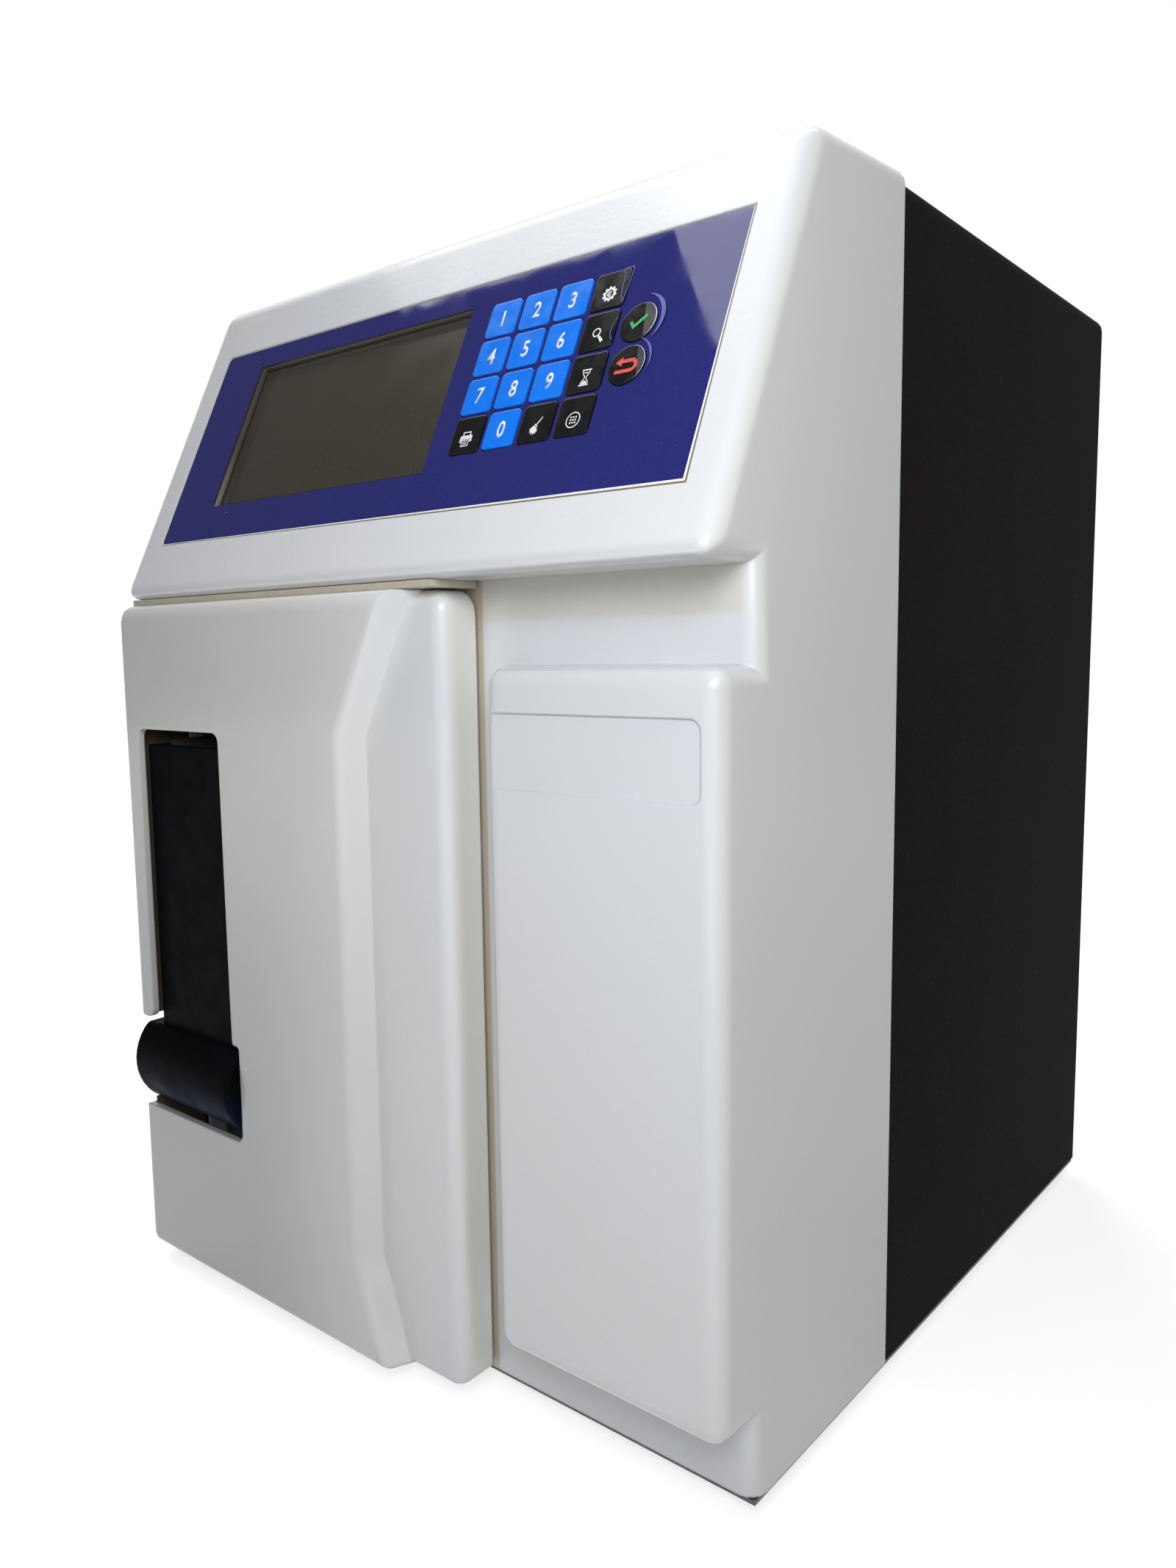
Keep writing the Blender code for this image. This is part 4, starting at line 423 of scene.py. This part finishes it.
KEY_NAMES = ("calibrate", "analyze", "standby", "print", "clean", "menu", "confirm", "return")
FINISHES = (
    (fascia_look(), ("front_fascia",)),
    (door_look(), ("door",)),
    (enclosure_look(), ("rear_housing", "back_panel")),
    (overlay_look(), ("control_overlay",)),
    (screen_look(), ("lcd_screen",)),
    (key_look("key_blue", (0.002, 0.20, 0.95), (0.010, 0.26, 1.0)),
     tuple("key_%d" % digit for digit in range(10))),
    (key_look("key_black", (0.0055, 0.0055, 0.006), (0.010, 0.010, 0.011)),
     tuple("key_" + name for name in KEY_NAMES)),
    (lever_look(), ("sampler_lever",)),
    (grainy("dark_steel", (0.10, 0.10, 0.10), (0.13, 0.13, 0.13), 500, 0.45, 0.00002, metallic=0.7),
     ("base_plate", "door_magnet")),
    (grainy("rubber", (0.018, 0.018, 0.018), (0.028, 0.027, 0.026), 300, 0.85, 0.00008, specular=0.3),
     ("foot_front_left", "foot_front_right", "foot_back_left", "foot_back_right")),
    (grainy("steel", (0.62, 0.62, 0.61), (0.54, 0.54, 0.53), 260, 0.28, 0.00001, (1, 1, 12), metallic=1.0),
     ("door_hinge_pin_upper", "door_hinge_pin_lower", "sampler_pivot_pin", "sample_probe", "pump_roller_1",
      "pump_roller_2", "pump_roller_3", "serial_port")),
    (grainy("board_green", (0.018, 0.13, 0.055), (0.03, 0.19, 0.08), 160, 0.45, 0.00002, (1, 9, 1), coat=0.3),
     ("keypad_board", "main_board")),
    (grainy("plate_brown", (0.10, 0.078, 0.055), (0.14, 0.11, 0.078), 90, 0.6, 0.00003, (1, 1, 5),
            specular=0.3),
     ("instrument_plate", "sampler_bracket")),
    (grainy("white_plastic", (0.78, 0.80, 0.82), (0.72, 0.74, 0.77), 120, 0.4, 0.00003),
     ("reagent_pack", "pump_rotor")),
    (grainy("clear_plastic", (0.55, 0.60, 0.62), (0.47, 0.52, 0.55), 80, 0.14, 0.00002, coat=0.5),
     ("electrode_carrier", "electrode_1", "electrode_2", "electrode_3", "reference_electrode")),
    (grainy("black_plastic", (0.014, 0.013, 0.013), (0.022, 0.021, 0.021), 900, 0.5, 0.00005, specular=0.12),
     ("pump_base", "power_inlet", "switch_frame", "power_switch", "printer_tray", "printer_lid")),
    (grainy("hose_rubber", (0.82, 0.81, 0.77), (0.76, 0.75, 0.70), 140, 0.5, 0.00003), ("pump_hose",)),
    (grainy("case_aluminium", (0.62, 0.62, 0.61), (0.55, 0.55, 0.55), 200, 0.4, 0.00001, (14, 1, 1),
            metallic=1.0),
     ("power_supply",)),
    (grainy("paper", (0.82, 0.81, 0.77), (0.77, 0.76, 0.71), 600, 0.85, 0.00003, specular=0.2),
     ("paper_roll",)),
)
for look, names in FINISHES:
    for name in names:
        item = nodes[name]
        item.data.materials.clear()
        item.data.materials.append(look)
        for face in item.data.polygons:
            face.use_smooth = True
        item.modifiers.new("joined", "WELD").merge_threshold = WELD_REACH
        item.modifiers.new("crisp", "EDGE_SPLIT").split_angle = CRISP_ANGLE
        item.modifiers.new("even", "WEIGHTED_NORMAL").keep_sharp = True

PRINTS = {
    name: (grainy("print_" + name, colour, [level * PRINT_SHADE for level in colour], 900, roughness,
                  0.000002, rounding=0.0), slot)
    for name, colour, roughness, slot in (
        ("white", (0.90, 0.91, 0.92), 0.35, "white_plastic"),
        ("green", (0.012, 0.46, 0.14), 0.35, "white_plastic"),
        ("red", (0.82, 0.075, 0.055), 0.35, "white_plastic"),
        # From here, grey, lavender and glare paint sheen, reflections and highlights on the keys' film, olive
        # paints a shadow line by the overlay, and beige, brown and the last, dark colour paint the strips
        # that stand for shade round the door
        ("grey", (0.050, 0.050, 0.055), 0.25, "key_black"),
        ("lavender", (0.14, 0.15, 0.42), 0.2, "overlay_blue"),
        ("glare", (0.62, 0.65, 0.80), 0.25, "white_plastic"),
        ("olive", (0.20, 0.17, 0.09), 0.5, "plate_brown"),
        ("beige", (0.62, 0.57, 0.46), 0.5, "ivory_plastic"),
        ("brown", (0.13, 0.095, 0.060), 0.5, "plate_brown"),
        ("screw", (0.10, 0.10, 0.10), 0.4, "dark_steel"),
        ("gap_shade_dark", (0.045, 0.038, 0.032), 0.6, "rubber"),
    )
}


# Flat shapes, drawn in millimetres: prints, and painted reflections and highlights on the keys' film

def circle(radius, middle=(0, 0), start=0, end=360, steps=40):
    """Points on a circle or an arc; the full circle doesn't repeat its first point."""
    count = steps if end - start >= 360 else steps + 1
    return [(middle[0] + radius * math.cos(math.radians(start + (end - start) * step / steps)),
             middle[1] + radius * math.sin(math.radians(start + (end - start) * step / steps)))
            for step in range(count)]


def rectangle(left, right, foot, top):
    """Corners of a rectangle."""
    return [(left, foot), (right, foot), (right, top), (left, top)]


def stroke(points, width, closed=False):
    """Outlines of a line with a width, which tapers when two widths are given."""
    widths = width if isinstance(width, tuple) else (width, width)
    left, right = [], []
    count = len(points)
    for index, point in enumerate(points):
        here = Vector(point)
        before = Vector(points[(index - 1) % count]) if closed or index else None
        after = Vector(points[(index + 1) % count]) if closed or index < count - 1 else None
        into = (here - before).normalized() if before is not None else (after - here).normalized()
        out = (after - here).normalized() if after is not None else into
        normal = Vector((-(into + out).y, (into + out).x)).normalized()
        share = index / (count - 1)
        half = (widths[0] * (1 - share) + widths[1] * share) / 2
        reach = half / max(MITRE_LEAST, normal.dot(Vector((-into.y, into.x))))
        left.append(tuple(here + normal * reach))
        right.append(tuple(here - normal * reach))
    return [left, right] if closed else [left + right[::-1]]


def crescent(radius, middle, start, end, width, steps=30):
    """Arc that swells to a width at its middle and ends in points."""
    outer = circle(radius, middle, start, end, steps)
    inner = []
    for step, point in enumerate(outer):
        thin = width * math.sin(math.pi * step / steps)
        inner.append(tuple(Vector(point) + (Vector(middle) - Vector(point)).normalized() * thin))
    return [outer + inner[-2:0:-1]]


def gear(teeth, outer, root):
    """Toothed outline."""
    points = []
    for tooth in range(teeth):
        for radius, share in ((root, 0.0), (root, 0.4), (outer, 0.5), (outer, 0.85)):
            turn = 2 * math.pi * (tooth + share) / teeth
            points.append((radius * math.cos(turn), radius * math.sin(turn)))
    return points


def beyond(radius, foot_edge, top_edge):
    """Part of a disc to the right of a slanting line."""
    arc = [point for point in circle(radius, steps=72)
           if point[0] > foot_edge + (top_edge - foot_edge) * (point[1] + radius) / (2 * radius)]
    return [sorted(arc, key=lambda point: point[1])]


GLASS_SIDE = [(-1.35, 2.5), (-1.35, 1.7), (-0.28, 0.15), (-0.28, -0.15), (-1.35, -1.7), (-1.35, -2.5)]
ICONS = {
    "calibrate": ("white", (0.1, -1.5), [
        [gear(10, 2.9, 2.35), circle(1.55)],
        stroke(circle(0.85, (0.1, 0), 30, 300, 16), (0.25, 0.6)),
        stroke(circle(0.35, (0.25, 0.1), 120, 330, 10), (0.15, 0.4))]),
    "analyze": ("white", (0.1, -1.4), [
        [circle(1.65, (-0.75, 1.0)), circle(1.2, (-0.75, 1.0))],
        stroke([(0.3, -0.3), (0.75, -0.85)], 0.55),
        stroke([(0.65, -0.72), (2.3, -2.75)], (0.95, 1.15))]),
    "standby": ("white", (0.0, -1.6), [
        [rectangle(-1.85, 1.85, 2.55, 3.0)], [rectangle(-1.85, 1.85, -3.0, -2.55)],
        stroke(GLASS_SIDE, 0.3), stroke([(-across, up) for across, up in GLASS_SIDE], 0.3),
        [[(-1.0, -2.4), (1.0, -2.4), (0.9, -1.75), (0.0, -1.05), (-0.9, -1.75)]],
        stroke([(-0.8, 1.75), (0.8, 1.75)], 0.3)]),
    "print": ("white", (0.0, -1.4), [
        [[(-2.45, 1.3), (2.45, 1.3), (2.8, 0.95), (2.8, -1.3), (2.0, -1.3), (2.0, -0.1), (-2.0, -0.1),
          (-2.0, -1.3), (-2.8, -1.3), (-2.8, 0.95)]],
        stroke([(-1.6, 1.45), (-1.6, 2.5), (1.6, 2.5), (1.6, 1.45)], 0.4),
        stroke([(-1.5, -0.5), (1.5, -0.5), (1.5, -2.75), (-1.5, -2.75)], 0.35, closed=True),
        stroke([(-0.85, -1.25), (0.85, -1.25)], 0.32), stroke([(-0.85, -2.0), (0.85, -2.0)], 0.32)]),
    "clean": ("white", (0.0, -1.5), [
        stroke([(2.2, 3.3), (0.35, 0.75)], (0.3, 0.45)),
        stroke([(-0.45, 0.95), (0.85, 0.0)], 0.4),
        [[(-0.7, 0.6), (-2.4, -0.9), (-1.75, -1.0), (-2.15, -1.9), (-1.4, -1.7), (-1.35, -2.75),
          (-0.75, -2.1), (-0.3, -3.0), (0.0, -2.1), (0.7, -2.8), (0.65, -1.8), (1.2, -2.0),
          (0.65, -0.35)]]]),
    "menu": ("white", (0.0, -1.5), [
        [circle(2.85), circle(2.5)],
        *[[circle(0.32, (1.0 * column, 1.0 * row), steps=12)]
          for column in (-1, 0, 1) for row in (-1, 0, 1)]]),
    "confirm": ("green", (0.0, 0.0), [stroke([(-2.9, 0.5), (-1.5, -1.6), (3.0, 1.9)], (1.0, 1.2))]),
    "return": ("red", (0.0, 0.0), [
        stroke([(-4.0, -2.2), *circle(1.8, (1.9, -0.4), -90, 90, 14), (-1.8, 1.4)], 1.25),
        [[(-1.85, 3.1), (-4.3, 1.2), (-1.85, -0.3)]]]),
}
# Painted reflections on the round keys' film: a grey sheen over the right part of each key, and a bright
# painted highlight in an arc at its rim
KEY_MARKS = (
    ("confirm", "film_sheen_confirm", "grey", SHEEN_LIFT, [beyond(6.5, 3.4, 0.6)]),
    ("return", "film_sheen_return", "grey", SHEEN_LIFT, [beyond(6.5, 5.4, 2.6)]),
    ("confirm", "film_glint_confirm", "glare", GLINT_LIFT, [crescent(6.95, (0, 0), -62, 72, 0.42)]),
    ("return", "film_glint_return", "glare", GLINT_LIFT, [crescent(6.95, (0, 0), -55, 80, 0.3)]),
)
# Painted reflections: pale lavender loops round some keys, where the lifted film catches the light
FILM_GLARE_LOOPS = (
    ("confirm", [crescent(9.6, (0.4, 0.4), -50, 84, 1.5)]),
    ("return", [crescent(8.6, (0.5, 0.8), -25, 78, 0.8)]),
    ("calibrate", [
        stroke([(3.6, 6.6), (4.6, 7.1), (7.4, 7.3), (7.7, 6.4), (7.3, 0.0), (6.6, -5.2), (6.1, -5.6),
                (5.3, -3.4), (4.9, 0.4), (4.9, 3.4), (4.6, 5.4)], 0.28, closed=True)]),
    ("analyze", [
        stroke([(6.6, 3.9), (5.6, 1.6), (5.1, -1.4), (5.6, -3.4), (6.5, -4.4)], (0.2, 0.35))]),
)


def add_curve(shape, curve):
    """Add a curve's filled mesh to a shape."""
    item = bpy.data.objects.new("outline", curve)
    bpy.context.scene.collection.objects.link(item)
    drawn = bpy.data.meshes.new_from_object(item.evaluated_get(bpy.context.evaluated_depsgraph_get()))
    shape.from_mesh(drawn)
    bpy.data.meshes.remove(drawn)
    bpy.data.objects.remove(item, do_unlink=True)
    bpy.data.curves.remove(curve)


def outline_curve(outlines, thick, rounding=0.0):
    """Filled curve from outlines in millimetres, with a thickness and rounded edges."""
    curve = bpy.data.curves.new("outline", "CURVE")
    curve.dimensions = "2D"
    curve.fill_mode = "BOTH"
    curve.extrude = thick / 2
    curve.bevel_depth = rounding
    curve.bevel_resolution = 3
    for outline in outlines:
        line = curve.splines.new("POLY")
        line.points.add(len(outline) - 1)
        for point, (across, up) in zip(line.points, outline):
            point.co = (across * MM, up * MM, 0, 1)
        line.use_cyclic_u = True
    return curve


def flat_shape(groups):
    """Filled outlines, each group on its own so that its inner outlines are holes."""
    shape = bmesh.new()
    for outlines in groups:
        add_curve(shape, outline_curve(outlines, PRINT_THICK))
    return shape


def thicken(shape, foot, top):
    """Lay a flat shape at one level, raise a copy of its faces to another, and close the sides."""
    for vert in shape.verts:
        vert.co.z = foot
    raised = bmesh.ops.extrude_face_region(shape, geom=list(shape.faces))["geom"]
    for vert in raised:
        if isinstance(vert, bmesh.types.BMVert):
            vert.co.z = top


def digit_shape(digit):
    """One upright digit, centred."""
    curve = bpy.data.curves.new("digit", "FONT")
    curve.body = str(digit)
    curve.offset = DIGIT_BOLD
    shape = bmesh.new()
    add_curve(shape, curve)
    lows = [min(vert.co[axis] for vert in shape.verts) for axis in (0, 1)]
    highs = [max(vert.co[axis] for vert in shape.verts) for axis in (0, 1)]
    scale = DIGIT_HEIGHT / (highs[1] - lows[1])
    for vert in shape.verts:
        vert.co.x = (vert.co.x - (lows[0] + highs[0]) / 2) * scale * DIGIT_SLIM
        vert.co.y = (vert.co.y - (lows[1] + highs[1]) / 2) * scale
    thicken(shape, -PRINT_THICK / 2, PRINT_THICK / 2)
    return shape


def face_span(node):
    """Lowest and highest place of a node across the control face, up it and out of it."""
    corners = [node.matrix_world @ vert.co for vert in node.data.vertices]
    return [(min(corner.dot(way) for corner in corners), max(corner.dot(way) for corner in corners))
            for way in (ACROSS, FACE_UP, FACE_OUT)]


def face_place(across, up, out):
    """Matrix that lays a flat shape on the control face."""
    turn = Matrix((ACROSS, FACE_UP, FACE_OUT)).transposed().to_4x4()
    return Matrix.Translation(ACROSS * across + FACE_UP * up + FACE_OUT * out) @ turn


def lay(name, shape, place, body, look):
    """Make a printed piece from a flat shape, and let it ride on a body."""
    finish, slot = PRINTS[look]
    bmesh.ops.remove_doubles(shape, verts=shape.verts, dist=WELD_REACH)
    bmesh.ops.recalc_face_normals(shape, faces=shape.faces)
    data = bpy.data.meshes.new(name)
    shape.to_mesh(data)
    shape.free()
    data.materials.append(finish)
    item = bpy.data.objects.new(name, data)
    bpy.context.scene.collection.objects.link(item)
    item.matrix_world = place
    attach(item, body)


def on_key(key, name, shape, look, middle=(0, 0), lift=PRINT_LIFT, body=None):
    """Lay a shape on a key's face; it rides on the key unless another body is named."""
    (left, right), (foot, top), (_, out) = face_span(nodes["key_" + key])
    place = face_place((left + right) / 2 + middle[0] * MM, (foot + top) / 2 + middle[1] * MM, out + lift)
    lay(name, shape, place, body or "button_" + key, look)


def overlay_edges():
    """Pale line, and an olive line that is a painted shadow, along the overlay's foot and right side."""
    (left, right), (foot, top), (_, out) = face_span(nodes["control_overlay"])
    left, right, foot, top = (value / MM for value in (left, right, foot, top))
    for name, look, near, far in EDGE_LINES:
        thin_near, thin_far = near * EDGE_THIN_SHARE, far * EDGE_THIN_SHARE
        outline = [
            (left, foot - thin_near), (right + near, foot - near), (right + thin_near, top),
            (right + thin_far, top), (right + far, foot - far), (left, foot - thin_far)]
        lay(name, flat_shape([[outline]]), face_place(0, 0, out + EDGE_LIFT), "cabinet", look)


def strip(name, outline, lift, depth, turn, body, look):
    """Thin moulded strip: an outline in millimetres, filled, thickened and placed by a turn."""
    shape = bmesh.new()
    shape.faces.new([shape.verts.new((across * MM, up * MM, 0)) for across, up in outline])
    thicken(shape, lift * MM, (lift + depth) * MM)
    sharp = [edge for edge in shape.edges if edge.is_manifold]
    bmesh.ops.bevel(shape, geom=sharp, offset=STRIP_ROUND * MM, segments=2, affect="EDGES",
                    clamp_overlap=True)
    lay(name, shape, turn.to_4x4(), body, look)


def hidden_strips():
    """Strips that close the views through the gaps round the door, clear of the lever and the hinge, coloured
    as painted shade: a brown liner behind the lever, a dark strip in the side gap and a beige strip under the
    hood.
    """
    upright = Matrix(((0, 0, 1), (1, 0, 0), (0, 1, 0)))
    flat = Matrix.Identity(3)
    # Partly painted shade: a brown liner behind the lever, as brown as the plate inside and dark for the
    # shade in the slot
    strip("door_liner", [
        (LINER_FRONT, LINER_FOOT), (LINER_BACK, LINER_FOOT), (LINER_BACK, BARREL_CLEAR_UP[0]),
        (BARREL_BACK, BARREL_UP[0]), (BARREL_BACK, BARREL_UP[1]), (LINER_BACK, BARREL_CLEAR_UP[1]),
        (LINER_BACK, LINER_TOP), (LINER_FRONT, LINER_TOP), (LINER_FRONT, GRIP_TOP), (GRIP_BACK, GRIP_TOP),
        (GRIP_BACK, GRIP_FOOT), (LINER_FRONT, GRIP_FOOT)], LINER_LEFT, LINER_THICK, upright, "door_body",
        "brown")
    # Painted shade: a dark strip in the gap between the door and the housing
    strip("side_gap_shade", [
        (SIDE_STRIP_LEFT, SIDE_STRIP_FRONT), (SIDE_STRIP_RIGHT, SIDE_STRIP_FRONT), (SIDE_STRIP_RIGHT, SIDE_STRIP_BACK_RIGHT),
        (SIDE_STRIP_LEFT, SIDE_STRIP_BACK_LEFT)], SIDE_STRIP_FOOT, SIDE_STRIP_HEIGHT, flat, "cabinet", "gap_shade_dark")
    # Painted shade: a beige strip under the hood, coloured like the hood's shaded underside
    strip("hood_gap_shade", [
        (TOP_LEFT, TOP_FRONT), (TOP_RIGHT, TOP_FRONT), (TOP_RIGHT, TOP_BACK), (HINGE_RIGHT, TOP_BACK),
        (HINGE_RIGHT, HINGE_FRONT), (TOP_LEFT, HINGE_FRONT)], TOP_FOOT, TOP_THICK, flat, "cabinet",
        "beige")


def cross_outline(reach, half):
    """Corners of a cross with four equal arms."""
    arm = [(-half, -reach), (half, -reach), (half, -half)]
    cross = []
    for _ in range(4):
        cross += arm
        arm = [(-up, across) for across, up in arm]
    return cross


def screw_shape():
    """Pan head with a cross recess: a rounded plate with the cross cut through, on a plain disc."""
    shape = bmesh.new()
    edge = circle(SCREW_RADIUS - SCREW_ROUND)
    cross = cross_outline(CROSS_REACH, CROSS_HALF)
    for outlines, (rise, thick, rounding) in (([edge, cross], SCREW_HEAD), ([edge], SCREW_DISC)):
        before = len(shape.verts)
        add_curve(shape, outline_curve(outlines, thick * MM, rounding * MM))
        shape.verts.ensure_lookup_table()
        for vert in shape.verts[before:]:
            vert.co.z += rise * MM
    return shape


def back_screws():
    """Screws round the back panel: corners and the middle of each side."""
    outwards = Matrix(((-1, 0, 0), (0, 0, 1), (0, 1, 0))).to_4x4()
    panel_low, panel_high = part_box("back_panel")
    left, right = panel_low[0] + SCREW_SET * MM, panel_high[0] - SCREW_SET * MM
    foot, top = panel_low[2] + SCREW_SET * MM, panel_high[2] - SCREW_SET * MM
    middle = (panel_low[2] + panel_high[2]) / 2
    places = [(left, foot), (0, foot), (right, foot), (left, middle), (right, middle),
              (left, top), (0, top), (right, top)]
    for number, (across, level) in enumerate(places, start=1):
        place = Matrix.Translation((across, panel_high[1], level)) @ outwards
        lay("back_screw_%d" % number, screw_shape(), place, "cabinet", "screw")


# Light, floor and camera

def lamp(name, place, aim, width, height, watts, colour):
    """Soft rectangular lamp turned towards a point."""
    light = bpy.data.lights.new(name, "AREA")
    light.shape = "RECTANGLE"
    light.size = width
    light.size_y = height
    light.energy = watts
    light.color = colour
    item = bpy.data.objects.new(name, light)
    bpy.context.scene.collection.objects.link(item)
    item.location = place
    item.visible_glossy = name not in UNMIRRORED_LAMPS
    item.rotation_euler = (Vector(aim) - Vector(place)).to_track_quat("-Z", "Y").to_euler()


def camera():
    """Camera at the photograph's place, with its lens, turn and slight roll."""
    ahead = Vector((-math.sin(CAMERA_YAW) * math.cos(CAMERA_PITCH),
                    math.cos(CAMERA_YAW) * math.cos(CAMERA_PITCH), -math.sin(CAMERA_PITCH)))
    level = Vector((math.cos(CAMERA_YAW), math.sin(CAMERA_YAW), 0))
    down = ahead.cross(level)
    right = level * math.cos(CAMERA_ROLL) + down * math.sin(CAMERA_ROLL)
    down = down * math.cos(CAMERA_ROLL) - level * math.sin(CAMERA_ROLL)
    turn = Matrix((right, -down, -ahead)).transposed()
    data = bpy.data.cameras.new("photo_camera")
    data.lens = CAMERA_LENS
    data.sensor_width = CAMERA_SENSOR
    data.clip_start = CAMERA_NEAR
    item = bpy.data.objects.new("photo_camera", data)
    bpy.context.scene.collection.objects.link(item)
    item.matrix_world = Matrix.Translation(CAMERA_PLACE) @ turn.to_4x4()
    bpy.context.scene.camera = item


def seen_rays(made):
    """Light path, and a mask of the rays that show the background: straight, mirrored and through glass."""
    path = made.node_tree.nodes.new("ShaderNodeLightPath")
    shown = path.outputs["Is Camera Ray"]
    for name in ("Is Glossy Ray", "Is Transmission Ray"):
        shown = combine(made, "MAXIMUM", shown, path.outputs[name])
    return path, shown


def surroundings():
    """Even room light, seen as plain white, but dimmer in what mirrors the front of the room."""
    world = bpy.data.worlds.new("room")
    bpy.context.scene.world = world
    world.use_nodes = True
    tree = world.node_tree
    room = tree.nodes["Background"]
    room.inputs["Color"].default_value = ROOM_COLOUR
    room.inputs["Strength"].default_value = ROOM_LIGHT
    seen = tree.nodes.new("ShaderNodeBackground")
    path, shown = seen_rays(world)
    place = tree.nodes.new("ShaderNodeTexCoord")
    split = tree.nodes.new("ShaderNodeSeparateXYZ")
    tree.links.new(place.outputs["Generated"], split.inputs[0])
    mirrored = spread(world, split.outputs["Y"], *ROOM_TURN, ROOM_FRONT, 1.0, course="LINEAR")
    level = combine(world, "MAXIMUM", mirrored, path.outputs["Is Camera Ray"])
    tree.links.new(level, seen.inputs["Strength"])
    seen.inputs["Color"].default_value = (1, 1, 1, 1)
    mix = tree.nodes.new("ShaderNodeMixShader")
    tree.links.new(shown, mix.inputs["Fac"])
    tree.links.new(room.outputs["Background"], mix.inputs[1])
    tree.links.new(seen.outputs["Background"], mix.inputs[2])
    tree.links.new(mix.outputs["Shader"], tree.nodes["World Output"].inputs["Surface"])


def floor():
    """Plain pale floor that keeps the object's shadow."""
    shape = bmesh.new()
    bmesh.ops.create_grid(shape, x_segments=1, y_segments=1, size=FLOOR_HALF)
    data = bpy.data.meshes.new("floor")
    shape.to_mesh(data)
    shape.free()
    item = bpy.data.objects.new("floor", data)
    bpy.context.scene.collection.objects.link(item)
    made = plain("pale_floor", (FLOOR_GREY,) * 3, 0.9, specular=0.0)
    tree = made.node_tree
    reach = tree.nodes.new("ShaderNodeVectorMath")
    reach.operation = "LENGTH"
    tree.links.new(position(made), reach.inputs[0])
    lift = tree.nodes.new("ShaderNodeEmission")
    glow = spread(made, reach.outputs["Value"], *FLOOR_FADE, FLOOR_LIFT, 1.0)
    tree.links.new(glow, lift.inputs["Strength"])
    lit = tree.nodes.new("ShaderNodeAddShader")
    tree.links.new(tree.nodes["Principled BSDF"].outputs[0], lit.inputs[0])
    tree.links.new(lift.outputs[0], lit.inputs[1])
    mix = tree.nodes.new("ShaderNodeMixShader")
    tree.links.new(seen_rays(made)[1], mix.inputs["Fac"])
    tree.links.new(tree.nodes["Principled BSDF"].outputs[0], mix.inputs[1])
    tree.links.new(lit.outputs[0], mix.inputs[2])
    tree.links.new(mix.outputs[0], tree.nodes["Material Output"].inputs["Surface"])
    data.materials.append(made)


camera()
surroundings()
floor()
for setting in LAMPS:
    lamp(*setting)

for digit in range(10):
    on_key(str(digit), "digit_%d" % digit, digit_shape(digit), "white")
for key, (look, middle, groups) in ICONS.items():
    on_key(key, "icon_" + key, flat_shape(groups), look, middle)
for key, name, look, lift, groups in KEY_MARKS:
    on_key(key, name, flat_shape(groups), look, lift=lift)
for key, groups in FILM_GLARE_LOOPS:
    on_key(key, "film_glare_loop_" + key, flat_shape(groups), "lavender", lift=GLINT_LIFT, body="cabinet")
overlay_edges()
hidden_strips()
back_screws()

bpy.context.scene.view_settings.view_transform = "Standard"
